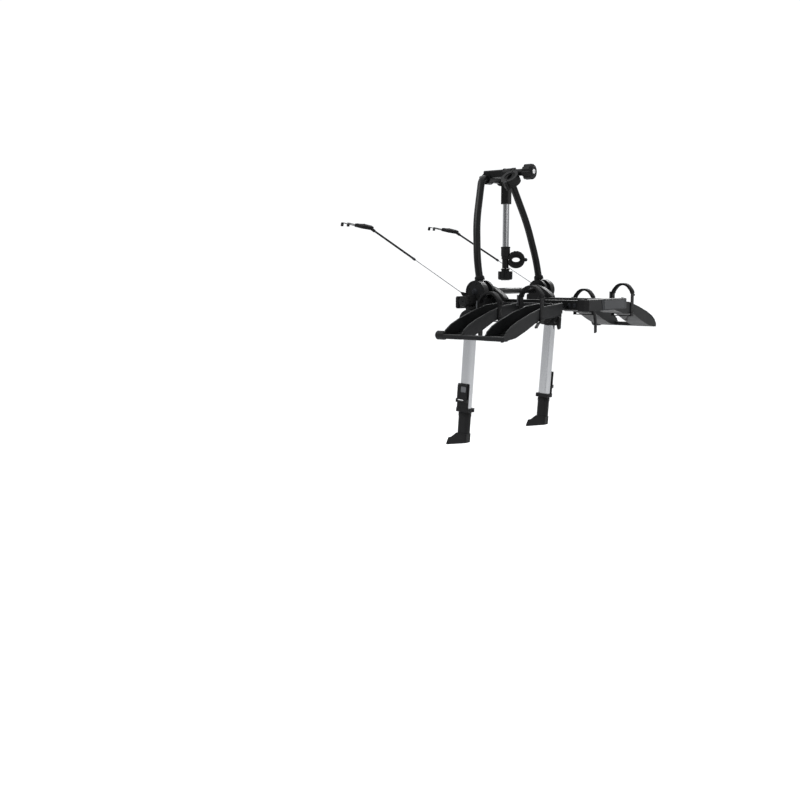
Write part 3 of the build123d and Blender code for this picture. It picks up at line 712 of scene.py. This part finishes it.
def makeHookDetails(values):
    slope = radians(values["tilt"])
    hook = frameAt(ferrule, (1, 0, 0), (0, -sin(slope), cos(slope)))
    wide, deep, high = values["ribSize"]
    rib = roundEdges(addBlock("rib", (-wide / 2, -deep / 2, -1), (wide / 2, deep / 2, high)), 0.7)
    rows = [hook @ shift(0, values["ribStart"] + values["ribPitch"] * row, values["coverTop"])
            for row in range(values["ribs"])]
    finishPair(scatter("hook_cover_ribs", rib, rows), "hub", "mouldedRubber")
    head = turnPiece("head", values["rivet"], 20)
    spots = [hook @ shift(x, y, values["coverTop"]) for x, y in values["rivets"]]
    finishSteelPair(scatter("hook_rivets", head, spots), "hub")
    half, back, front, low, high = values["tip"]
    tip = roundEdges(addBlock("tip", (-half, back, low), (half, front, high)), 1.6, 3)
    tips = scatter("hook_tips", tip, [hook @ shift(x, 0, 0) for x in values["fingers"]])
    finishPair(tips, "hub", "mouldedRubber")
    crimp = turnPiece("sleeve_crimp", values["crimp"], 24)
    start = ferrule - cableWay * values["crimpBack"]
    finishSteelPair(placeAt(crimp, frameAt(start, (1, 0, 0), cableWay)), "hub")


makeHookDetails(hookSet)
print("hooks detailed")


# Arch: a collar at each foot, and the split lug that pinches each arm's ring on the crown

archSet = {
    "lean": 10.2, "tubeRadius": 14,
    # collar outline: radius and distance from the hub's axis
    "collar": [(14.05, 43.4), (18.6, 43.4), (19.6, 44.6), (19.6, 47), (18.4, 48.4), (18.4, 50),
               (19, 51), (18.2, 55.5), (16.4, 58.5), (14.05, 59.5), (14.05, 43.4)],
    # half width, start and end from the crown's middle, half depth
    "pinchLug": (9, 20, 36, 11), "pinchGap": 1.6, "pinchBolt": (8, 4.5, 6.2),
}


def makeArchDetails(values):
    slope = radians(values["lean"])
    foot = nodeBox("arch_tube")[1].x - values["tubeRadius"]
    collar = turnPiece("arch_collar", values["collar"], 48)
    place = frameAt((foot, hubPlace.y, hubPlace.z), (1, 0, 0), (0, sin(slope), cos(slope)))
    finishPair(placeAt(collar, place), "arch", "mouldedRubber")
    half, start, end, deep = values["pinchLug"]
    gap = values["pinchGap"]
    for arm, awayFromArm in (("short", (0, 1, 0)), ("long", (0, 0, 1))):
        crown = jointPlace(f"{arm}_arm_swing")
        away = frameAt(crown, (1, 0, 0), awayFromArm)
        upper = roundEdges(addBlock("upper", (-half, gap, start), (half, deep, end)), 2.2, 3)
        lower = roundEdges(addBlock("lower", (-half, -deep, start), (half, -gap, end)), 2.2, 3)
        lug = placeAt(joinPieces(f"{arm}_arm_pinch_lug", [upper, lower]), away)
        finishPiece(lug, f"{arm}_arm", "powderCoatedSteel")
        bolt = hexBolt("bolt", *values["pinchBolt"])
        middle = (start + end) / 2 + 1
        ends = [away @ shift(0, deep, middle) @ turnX(-90),
                away @ shift(0, -deep, middle) @ turnX(90)]
        finishSteel(scatter(f"{arm}_arm_pinch_bolt", bolt, ends), f"{arm}_arm")


makeArchDetails(archSet)
print("arch detailed")


# Claws, each in its own frame: Z along the arm, Y along the gripped tube, throat on the -X side

clawSet = {
    "throat": 42, "throatRadius": 20, "outerRadius": 34, "halfWidth": 17,
    # half length of the grip, half width and height of its hole
    "gripHalf": 15, "gripHole": (16, 8), "gripSteps": 64,
    # ends of the lips along X, their half thickness and half width
    "lips": ((-30, -19), (19, 27)), "lip": (1.3, 16),
    "washer": (4.3, 12.6, -1.3, 1.4),
    # ribs at these degrees round the throat: width, how far out, half length
    "backRibs": 5, "backRibStart": 215, "backRibPitch": 22, "backRib": (3.2, 1.3, 13),
    "knobTop": 79.5, "knobCap": (17, 1.8, 12.5, 1),
    "lock": [(0, -0.4), (8.6, -0.4), (8.6, 2.2), (7.8, 3), (6.6, 3), (6.2, 2.3), (0, 2.3)],
    "keyWay": (1.5, 6.6, 0.5),               # width, length, how far it stands out
    # rings with the size of their rounded edge
    "neckRing": (15.8, 18, 36, 39.5, 0.8), "armRing": (14.2, 19.2, -51.5, -46, 1),
    "pinHead": [(0, -0.3), (4.8, -0.3), (4.8, 0.4), (3.84, 1.2), (2.16, 1.536), (0, 1.6)],
}


def makeGrip(values):
    # half of a fluted soft ring: an arc, drawn in to an oval hole and then extruded
    outer = values["throatRadius"] + 0.4
    wide, high = values["gripHole"]
    steps = values["gripSteps"]
    selectNothing()
    bpy.ops.mesh.primitive_circle_add(vertices=steps, radius=outer * mm)
    grip = bpy.context.object
    editCorners(grip, lambda place: place.y < -0.01)
    bpy.ops.mesh.delete(type="VERT")
    bpy.ops.mesh.select_all(action="SELECT")
    bpy.ops.mesh.extrude_region_move()
    bpy.ops.transform.resize(value=(wide / outer, high / outer, 1), center_override=(0, 0, 0))
    bpy.ops.mesh.select_all(action="SELECT")
    bpy.ops.mesh.extrude_region_move(
        TRANSFORM_OT_translate={"value": (0, 0, 2 * values["gripHalf"] * mm)})
    leaveEdit()
    # every second corner of the hole moves out, which leaves flutes
    editCorners(grip, lambda place: place.xy.length < outer - 1 and place.y > 0.5
                and round(degrees(atan2(place.y / high, place.x / wide)) * steps / 360) % 2 == 1)
    bpy.ops.transform.resize(value=(1.07, 1.1, 1), center_override=(0, 0, 0))
    bpy.ops.mesh.select_all(action="SELECT")
    bpy.ops.mesh.normals_make_consistent(inside=False)
    leaveEdit()
    return placeAt(grip, shift(0, 0, -values["gripHalf"]))


def makeClawGrips(arm, claw, throat, values):
    for body, start in ((f"{arm}_jaw", 0), (f"{arm}_claw", 180)):
        parts = [placeAt(makeGrip(values), throat @ turnY(start) @ turnX(90) @ shift(0, 0.3, 0))]
        if start == 0:
            thick, half = values["lip"]
            for low, high in values["lips"]:
                lip = roundEdges(addBlock("lip", (low, -half, -thick), (high, half, thick)), 0.3)
                parts.append(placeAt(lip, throat))
            parts.append(placeAt(turnedRing("washer", *values["washer"], 0.3, 32), claw))
        finishPiece(joinPieces(f"{body}_grip", parts), body, "mouldedRubber")


def makeKnobDetails(arm, top, values):
    cap = placeAt(turnedCap(f"{arm}_knob_cap", *values["knobCap"], 0.5, 48), top)
    finishPiece(cap, f"{arm}_knob", "greyNylonAndRimHighlight")
    lock = placeAt(turnPiece(f"{arm}_knob_lock", values["lock"], 40), top)
    finishPiece(lock, f"{arm}_knob", "polishedZinc")
    wide, long, proud = values["keyWay"]
    keyWay = addBlock(f"{arm}_knob_key_way", (-wide / 2, -long / 2, 2),
                      (wide / 2, long / 2, 2 + proud))
    finishPiece(placeAt(roundEdges(keyWay, 0.2), top), f"{arm}_knob", "mouldedRubber")


def makeClawDetails(arm, values):
    place = jointPlace(f"{arm}_knob_turn")
    alongArm = jointWay(f"{arm}_knob_turn")
    alongTube = -jointWay(f"{arm}_jaw_open")
    claw = frameAt(place, alongTube.cross(alongArm), alongArm)
    throat = claw @ shift(-values["throat"], 0, 0)
    makeClawGrips(arm, claw, throat, values)
    wide, proud, half = values["backRib"]
    outer = values["outerRadius"]
    rib = addBlock("rib", (outer - 0.8, -half, -wide / 2), (outer + proud, half, wide / 2))
    roundEdges(rib, 0.9)
    turns = [throat @ turnY(-values["backRibStart"] - values["backRibPitch"] * step)
             for step in range(values["backRibs"])]
    ribs = scatter(f"{arm}_claw_back_ribs", rib, turns)
    finishPiece(ribs, f"{arm}_claw", "mouldedNylon")
    makeKnobDetails(arm, claw @ shift(0, 0, values["knobTop"]), values)
    neck = placeAt(turnedRing(f"{arm}_knob_neck_ring", *values["neckRing"], 40), claw)
    finishPiece(neck, f"{arm}_knob", "mouldedNylon")
    socket = placeAt(turnedRing(f"{arm}_claw_socket_ring", *values["armRing"], 40), claw)
    finishPiece(socket, f"{arm}_claw", "mouldedNylon")
    head = turnPiece("head", values["pinHead"], 20)
    pin = frameAt(jointPlace(f"{arm}_jaw_open"), alongArm, alongTube)
    out = shift(0, 0, values["halfWidth"])
    heads = scatter(f"{arm}_claw_pin_heads", head, [pin @ out, pin @ turnX(180) @ out])
    finishSteel(heads, f"{arm}_claw")


for arm in ("short", "long"):
    makeClawDetails(arm, clawSet)
print("claws detailed")


# Platform: seams, plate frame, bolts and the ribs under the beam

platformSet = {
    "plateFrame": (3.2, 1.7, 1.5),           # width, how far it stands out, depth inside it
    "seam": ((-55.3, 12.4), (-40.7, -17)),   # ends on the rear face, X and Z
    "seamWidth": 2.2,
    "cover": (3, 0.9), "coverEnd": 14,       # inset from the edges, thickness
    "ribs": 9, "ribThick": 2.6, "ribMargin": 60,
    "topScrews": (-143, 143), "screwInset": 16, "screw": (5, 2.4, 2.8, 1.5),
    # fairing on the sloping web of a side arm: X range, height, and its line in Y and Z
    "fairingWide": (154, 185.5), "fairingHigh": 15,
    "fairing": [(-68, 55), (-92, 53), (-112, 45), (-146, 21.5), (-157, 15)],
    "sideBolt": (10, 4.4, 8), "sideBoltsAhead": (14, 36), "sideBoltHeight": -5,
    "rodNut": (10, 4.2, 6.6), "rodRadius": 4,
}


def slantEnd(piece, top, low):
    # the left end of a block follows the line between two points of the seam
    editEdges(piece, lambda middle, way: abs(way.y) > 0.9 and middle.x < low[0] + 1
              and middle.z > (top[1] + low[1]) / 2)
    bpy.ops.transform.translate(value=((top[0] - low[0]) * mm, 0, 0))
    leaveEdit()


def makeBeamFace(values):
    low, high = nodeBox("rear_beam")
    plateLow, plateHigh = nodeBox("label_plate")
    rim, proud, deep = values["plateFrame"]
    plateFrame = addBlock("plate_frame", (plateLow.x - rim, low.y - proud, plateLow.z - rim),
                          (plateHigh.x + rim, low.y + 0.6, plateHigh.z + rim))
    editFaces(plateFrame, lambda middle, way: way.y < -0.9)
    bpy.ops.mesh.inset(thickness=rim * mm)
    extrudeAlong([(0, 0, 0), (0, deep, 0)])
    leaveEdit()
    finishPiece(roundEdges(plateFrame, 0.5), "platform", "coverAbs")

    (topX, topZ), (lowX, lowZ) = values["seam"]
    edge, proud = values["cover"]
    cover = addBlock("beam_rear_cover", (lowX, low.y - proud, low.z + edge),
                     (high.x - values["coverEnd"], low.y + 0.5, high.z - edge))
    slantEnd(cover, (topX, topZ), (lowX, lowZ))
    finishPiece(roundEdges(cover, 0.4), "platform", "coverAbs")
    tilt = atan2(topX - lowX, topZ - lowZ)
    long = (Vector((topX, topZ)) - Vector((lowX, lowZ))).length
    half = values["seamWidth"] / 2
    seam = roundEdges(addBlock("beam_seam", (-half, -0.5, -long / 2), (half, 0.8, long / 2)), 0.3)
    place = shift((topX + lowX) / 2, low.y, (topZ + lowZ) / 2) @ turnY(degrees(tilt))
    finishPiece(placeAt(seam, place), "platform", "mouldedRubber")


def makeBeamRibs(values):
    low, high = nodeBox("rear_beam")
    half, count = values["ribThick"] / 2, values["ribs"]
    rib = addBlock("rib", (-half, low.y + 2, low.z + 1), (half, high.y - 2, high.z - 2))
    pitch = (high.x - low.x - values["ribMargin"]) / count
    rows = [shift(pitch * (row - (count - 1) / 2), 0, 0) for row in range(count)]
    ribs = scatter("beam_ribs", roundEdges(rib, 0.5), rows)
    finishPiece(ribs, "platform", "mouldedNylon")
    screw = turnedCap("screw", *values["screw"], 0.5, 24)
    rows = [shift(x, low.y + values["screwInset"], high.z - 0.3) for x in values["topScrews"]]
    finishSteel(scatter("beam_screws", screw, rows), "platform")


def makeSideArmDetails(values):
    inner, outer = values["fairingWide"]
    half = values["fairingHigh"] / 2
    line = [(0, y, z) for y, z in values["fairing"]]
    y, z = values["fairing"][0]
    fairing = addBlock("side_arm_fairing", (inner, y, z - half), (outer, y + 1, z + half))
    editFaces(fairing, lambda middle, way: way.y < -0.9)
    extrudeAlong(line)
    bpy.ops.transform.resize(value=(1, 1, 0.3))
    leaveEdit()
    bevelEdges(fairing, lambda middle, way: abs(way.x) < 0.1 and abs(way.y) > 0.3
               and middle.z > 14, 4, 4)
    finishPair(roundEdges(fairing, 0.8), "platform", "mouldedNylon")

    beamHigh = nodeBox("rear_beam")[1]
    rows = [shift(beamHigh.x, beamHigh.y + ahead, values["sideBoltHeight"]) @ turnY(90)
            for ahead in values["sideBoltsAhead"]]
    finishSteelPair(scatter("side_arm_bolts", hexBolt("bolt", *values["sideBolt"]), rows),
                    "platform")
    rodLow, rodHigh = nodeBox("wing_hinge_rods")
    x, z = rodHigh.x - values["rodRadius"], (rodLow.z + rodHigh.z) / 2
    rows = [shift(x, rodHigh.y, z) @ turnX(-90), shift(x, rodLow.y, z) @ turnX(90)]
    finishSteelPair(scatter("hinge_rod_nuts", hexBolt("nut", *values["rodNut"]), rows),
                    "platform")


makeBeamFace(platformSet)
makeBeamRibs(platformSet)
makeSideArmDetails(platformSet)
print("platform detailed")


# Trays: cross ribs on the floors, lips on the rims, grooves on the ends

traySet = {
    "firstTray": 202, "spacing": 173, "width": 80, "wall": 4, "floor": 5,
    "root": 200, "tip": 577, "top": 2, "drop": 116,
    # shares of the reach and the drop, from root to tip
    "rimShares": [(0, 0), (0.33, 0.08), (0.55, 0.25), (0.75, 0.44), (0.88, 0.60), (0.96, 0.76)],
    "floorShares": [(0, 0.30), (0.16, 0.42), (0.29, 0.43), (0.46, 0.52), (0.64, 0.75),
                    (0.81, 0.93), (1, 1)],
    "ribStart": 28, "ribMargin": 70, "ribPitch": 15, "ribSize": (3, 2.4),
    "lip": (3.4, 2.2),                       # half width across the wall, half height
    # handle's end: in from the tip, from the side and up from the floor's lowest point
    "handleAt": (15, 34, 11), "grooves": (2, 10, 18, 26), "groove": (14.6, 15.7, 4),
    "cap": (11, 1.4, 7, 0.8), "capAt": 34,
}


def trayLine(values, shares):
    reach = values["tip"] - values["root"]
    return [(values["root"] + x * reach, values["top"] - drop * values["drop"])
            for x, drop in shares]


def heightAt(line, x):
    for (x0, z0), (x1, z1) in zip(line, line[1:]):
        if x <= x1:
            return z0 + (z1 - z0) * (x - x0) / (x1 - x0), atan2(z1 - z0, x1 - x0)


def makeTrayRibs(values, middle):
    floorLine = trayLine(values, values["floorShares"])
    half = values["width"] / 2 - values["wall"]
    thick, high = values["ribSize"]
    rib = roundEdges(addBlock("rib", (-thick / 2, -half, values["floor"] - 1),
                              (thick / 2, half, values["floor"] + high)), 0.8)
    count = int((values["tip"] - values["root"] - values["ribMargin"]) / values["ribPitch"])
    places = []
    for row in range(count):
        x = values["root"] + values["ribStart"] + row * values["ribPitch"]
        z, slope = heightAt(floorLine, x)
        places.append(shift(x, -middle, z) @ turnY(-degrees(slope)))
    return scatter("ribs", rib, places)


def makeStrip(name, line, y, halfWide, halfHigh):
    # a flat section, extruded along a line in X and Z
    x, z = line[0]
    strip = addBlock(name, (x - 0.5, y - halfWide, z - halfHigh), (x, y + halfWide, z + halfHigh))
    editFaces(strip, lambda middle, way: way.x > 0.9)
    extrudeAlong([(x, y, z) for x, z in line])
    leaveEdit()
    return strip


def makeRimLips(values, middle):
    rimLine = trayLine(values, values["rimShares"])
    halfWide, halfHigh = values["lip"]
    centre = values["width"] / 2 - values["wall"] / 2
    lips = []
    for y in (-middle - centre, -middle + centre):
        lip = makeStrip("lip", rimLine, y, halfWide, halfHigh)
        bevelEdges(lip, lambda place, way: abs(way.x) > 0.5, 1.6, 3)
        lips.append(lip)
    return lips


def makeTrays(values):
    middles = [values["firstTray"], values["firstTray"] + values["spacing"]]
    ribs = joinPieces("tray_ribs", [makeTrayRibs(values, middle) for middle in middles])
    finishPair(ribs, "wing_side", "greyNylonAndRimHighlight")
    lips = [lip for middle in middles for lip in makeRimLips(values, middle)]
    finishPair(joinPieces("tray_rim_lips", lips), "wing_side", "greyNylonAndRimHighlight")
    inward, forward, up = values["handleAt"]
    handle = (values["tip"] - inward, nodeBox("tray_wing_right")[1].y - forward,
              values["top"] - values["drop"] + up)
    inner, outer, long = values["groove"]
    rings = [turnedRing("ring", inner, outer, along, along + long, 0.6, 40)
             for along in values["grooves"]]
    cap = placeAt(turnedCap("cap", *values["cap"], 0.4, 32), shift(0, 0, values["capAt"]))
    grip = joinPieces("end_handle_rings", rings + [cap])
    finishPair(placeAt(grip, frameAt(handle, (1, 0, 0), (0, 1, 0))), "wing_side",
               "mouldedNylon")


makeTrays(traySet)
print("trays detailed")


# Wheel straps: teeth, keepers, the loose tails and the release button of each buckle

strapSet = {
    "x": 345, "wide": 22, "thick": 3, "half": 41.8,
    "tops": {"front": 40, "rear": 64}, "foot": -60, "shoulderDrop": 28,
    # soft pad over the crown: width, thickness, and half its line as (y, below the top)
    "pad": (26, 8.5),
    "padLine": [(41.8, -37), (40.6, -29), (36, -21.3), (24.8, -8.3), (16, -2.8), (6.6, 0)],
    "toothPitch": 4, "tooth": (8, 1.1, 1.6),      # half width, height, length
    "keeper": (14, 3.4, 4),                       # half width, how far it stands out, half height
    "keeperUp": 9, "keeperDown": 14,              # from the foot, and below the shoulder
    # loose tails: points down and forwards from the foot of the rear run
    "tails": {"front": [(0, 0), (-5, -12), (-9, -40), (-10, -80), (-8, -86)],
              "rear": [(0, 0), (8, -8), (18, -15), (24, -24), (25, -30)]},
    "tailEnd": 0.72,
    "button": (6, 9, 1.5), "buttonDown": 4,       # half width, length, how far it stands out
}


def makeStrapPad(place, middle, values):
    wide, thick = values["pad"]
    side = values["padLine"]
    line = [(0, y, z) for y, z in side] + [(0, -y, z) for y, z in reversed(side)]
    pad = drawLine(f"{place}_strap_pad", line)
    extrudeAlong([(0, 0, 0), (wide, 0, 0)])
    leaveEdit()
    bpy.ops.object.modifier_add(type="SOLIDIFY")
    solid = pad.modifiers[-1]
    solid.thickness = thick * mm
    solid.offset = 0
    solid.use_even_offset = True
    bpy.ops.object.modifier_apply(modifier=solid.name)
    placeAt(roundEdges(pad, 2, 3), shift(values["x"] - wide / 2, -middle, values["tops"][place]))
    finishPair(pad, "wing_side", "mouldedRubber")


def makeStrapRun(place, back, shoulder, values):
    # the rear run of the strap, whose outer face is at y = back: teeth, keepers and tail
    x, foot, pitch = values["x"], values["foot"], values["toothPitch"]
    half, high, long = values["tooth"]
    tooth = addBlock("tooth", (-half, -0.3, -long / 2), (half, high, long / 2))
    bevelEdges(tooth, lambda centre, way: abs(way.x) > 0.9 and centre.y > 0, 0.6, 1)
    rows = [shift(x, back, foot + 2 + row * pitch) @ turnX(180)
            for row in range(int((shoulder - 4 - foot) / pitch))]
    teeth = scatter(f"{place}_strap_teeth", tooth, rows)
    finishPair(teeth, "wing_side", "mouldedNylon")

    half, out, high = values["keeper"]
    keepers = []
    for z in (foot + values["keeperUp"], shoulder - values["keeperDown"]):
        keeper = addBlock("keeper", (x - half, back - out, z - high),
                          (x + half, back + 0.6, z + high))
        editFaces(keeper, lambda centre, way: way.y < -0.9)
        insetFaces(1.6, (0, 0.6, 0))
        leaveEdit()
        keepers.append(roundEdges(keeper, 0.8))
    finishPair(joinPieces(f"{place}_strap_keepers", keepers), "wing_side",
               "mouldedNylon")

    half, face, z = values["wide"] / 2, back - 0.4, foot + values["keeperUp"]
    tail = addBlock(f"{place}_strap_tail", (x - half, face - values["thick"], z),
                    (x + half, face, z + 4))
    editFaces(tail, lambda centre, way: way.z < -0.9)
    extrudeAlong([(0, y, z) for y, z in values["tails"][place]])
    bpy.ops.transform.resize(value=(values["tailEnd"], 1, 1))
    leaveEdit()
    finishPair(roundEdges(tail, 1), "wing_side", "mouldedNylon")


def makeStrap(place, middle, values):
    makeStrapPad(place, middle, values)
    shoulder = values["tops"][place] - values["shoulderDrop"]
    makeStrapRun(place, -middle - values["half"] - values["thick"] / 2, shoulder, values)
    x = values["x"]
    half, long, proud = values["button"]
    lever = nodeBox(f"{place}_buckle_lever_right")[1]
    top = lever.z - values["buttonDown"]
    button = addBlock(f"{place}_buckle_button", (x - half, lever.y - 0.5, top - long),
                      (x + half, lever.y + proud, top))
    editFaces(button, lambda centre, way: way.y > 0.9)
    insetFaces(1.5, (0, -0.7, 0))
    leaveEdit()
    finishPair(roundEdges(button, 0.5), f"{place}_buckle_side", "buckleAbs")


makeStrap("front", traySet["firstTray"], strapSet)
makeStrap("rear", traySet["firstTray"] + traySet["spacing"], strapSet)
print("straps detailed")


# Legs: rims and pin caps, the panel and wire of the clamp lever, the sleeve's rim, the tread

legSet = {
    "headRing": (37.2, 41.2),
    "headHalf": 20,
    "ringInside": 0.35, "ringOutside": 1.4,
    "pinCap": (12.5, 1.8, 6, 1.2),
    "leverFace": 30.3,
    "panel": (-17.4, 5.4, -267.6, -246.4, 1.9),  # back, front, low, high, set in
    # outline of the wire, radius and distance along it, and where it starts
    "wire": [(0, 0), (1.05, 0), (1.5, 0.5), (1.5, 24.5), (1.05, 25), (0, 25)],
    "wireAt": (-10, -297.4),
    "collarScrew": (3.6, 2, 1.8, 1.2), "collarScrews": (-9, 9),
    "collarMiddle": -337.5, "collarBack": -28.7,
    "sleeve": (16, 25),
    "ridges": (-352, -357, -362), "ridge": (2.4, 1.3),   # height, how far it stands out
    "toe": ((52, -454), (62, -482)), "padThick": 6, "treads": 6,
    "tread": (16, 1.3),                      # half length, half width
}

legPivot = jointPlace("leg_fold_right")
legDown = jointWay("leg_slide_right")
leg = frameAt(legPivot, (1, 0, 0), -legDown)


def ovalBand(name, halfWide, halfDeep, low, high, edge):
    # a band round the oval section, thicker than it by its edge
    band = addBlock(name, (-halfWide - edge, -halfDeep - edge, low),
                    (halfWide + edge, halfDeep + edge, high))
    bevelEdges(band, lambda middle, way: abs(way.z) > 0.9, halfWide * 0.97, 8)
    return roundEdges(band, edge * 0.6)


def makeLegHead(values):
    inner, outer = values["headRing"]
    half = values["headHalf"]
    outside = turnedRing("outside", inner, outer, -0.5, values["ringOutside"], 0.6, 64)
    placeAt(outside, leg @ shift(half, 0, 0) @ turnY(90))
    inside = turnedRing("inside", inner, outer, -0.5, values["ringInside"], 0.15, 64)
    placeAt(inside, leg @ shift(-half, 0, 0) @ turnY(-90))
    # the rims take the paler grey nylon: a painted highlight, on top of the real one that their
    # raised edge catches
    finishPair(joinPieces("leg_head_rims", [outside, inside]), "leg_side",
               "greyNylonAndRimHighlight")
    pinFace = nodeBox("leg_pivot_pins")[1].x
    cap = turnedCap("leg_pin_cap", *values["pinCap"], 0.5, 40)
    finishSteelPair(placeAt(cap, frameAt((pinFace, legPivot.y, legPivot.z), (0, 1, 0), (1, 0, 0))),
                    "hub")


def makeLegLever(values):
    back, front, low, high, deep = values["panel"]
    face = values["leverFace"]
    panel = addBlock("leg_lever_panel", (face - deep, back, low), (face - 0.2, front, high))
    bevelEdges(panel, lambda middle, way: abs(way.x) > 0.9, 2.4, 4)
    editFaces(panel, lambda middle, way: way.x > 0.9)
    insetFaces(1.2, (-0.4, 0, 0))
    leaveEdit()
    finishPair(placeAt(roundEdges(panel, 0.3), leg), "leg_lever_side", "panelAbs")
    wire = turnPiece("leg_lever_wire", values["wire"], 16)
    finishPair(placeAt(wire, leg @ shift(face + 0.4, *values["wireAt"]) @ turnX(-90)),
               "leg_lever_side", "polishedZinc")


def makeFootDetails(values):
    screw = turnedCap("screw", *values["collarScrew"], 0.4, 20)
    rows = [leg @ shift(x, values["collarBack"], values["collarMiddle"]) @ turnX(90)
            for x in values["collarScrews"]]
    finishSteelPair(scatter("leg_collar_screws", screw, rows), "leg_side")

    wide, deep = values["sleeve"]
    high, proud = values["ridge"]
    bands = [ovalBand("band", wide, deep, z, z + high, proud) for z in values["ridges"]]
    finishPair(placeAt(joinPieces("foot_sleeve_ridges", bands), leg), "slider_side",
               "mouldedNylon")

    top, tip = [Vector((0, y, z)) for y, z in values["toe"]]
    along = tip - top
    out = Vector((0, -along.z, along.y)).normalized()
    half, thin = values["tread"]
    tread = roundEdges(addBlock("tread", (-half, -thin, -1), (half, thin, 1.4)), 0.8)
    count = values["treads"]
    rows = [leg @ frameAt(top + along * (row + 0.5) / count + out * values["padThick"],
                          (1, 0, 0), out) for row in range(count)]
    finishPair(scatter("foot_pad_treads", tread, rows), "slider_side",
               "mouldedRubber")


makeLegHead(legSet)
makeLegLever(legSet)
makeFootDetails(legSet)
print("legs detailed")
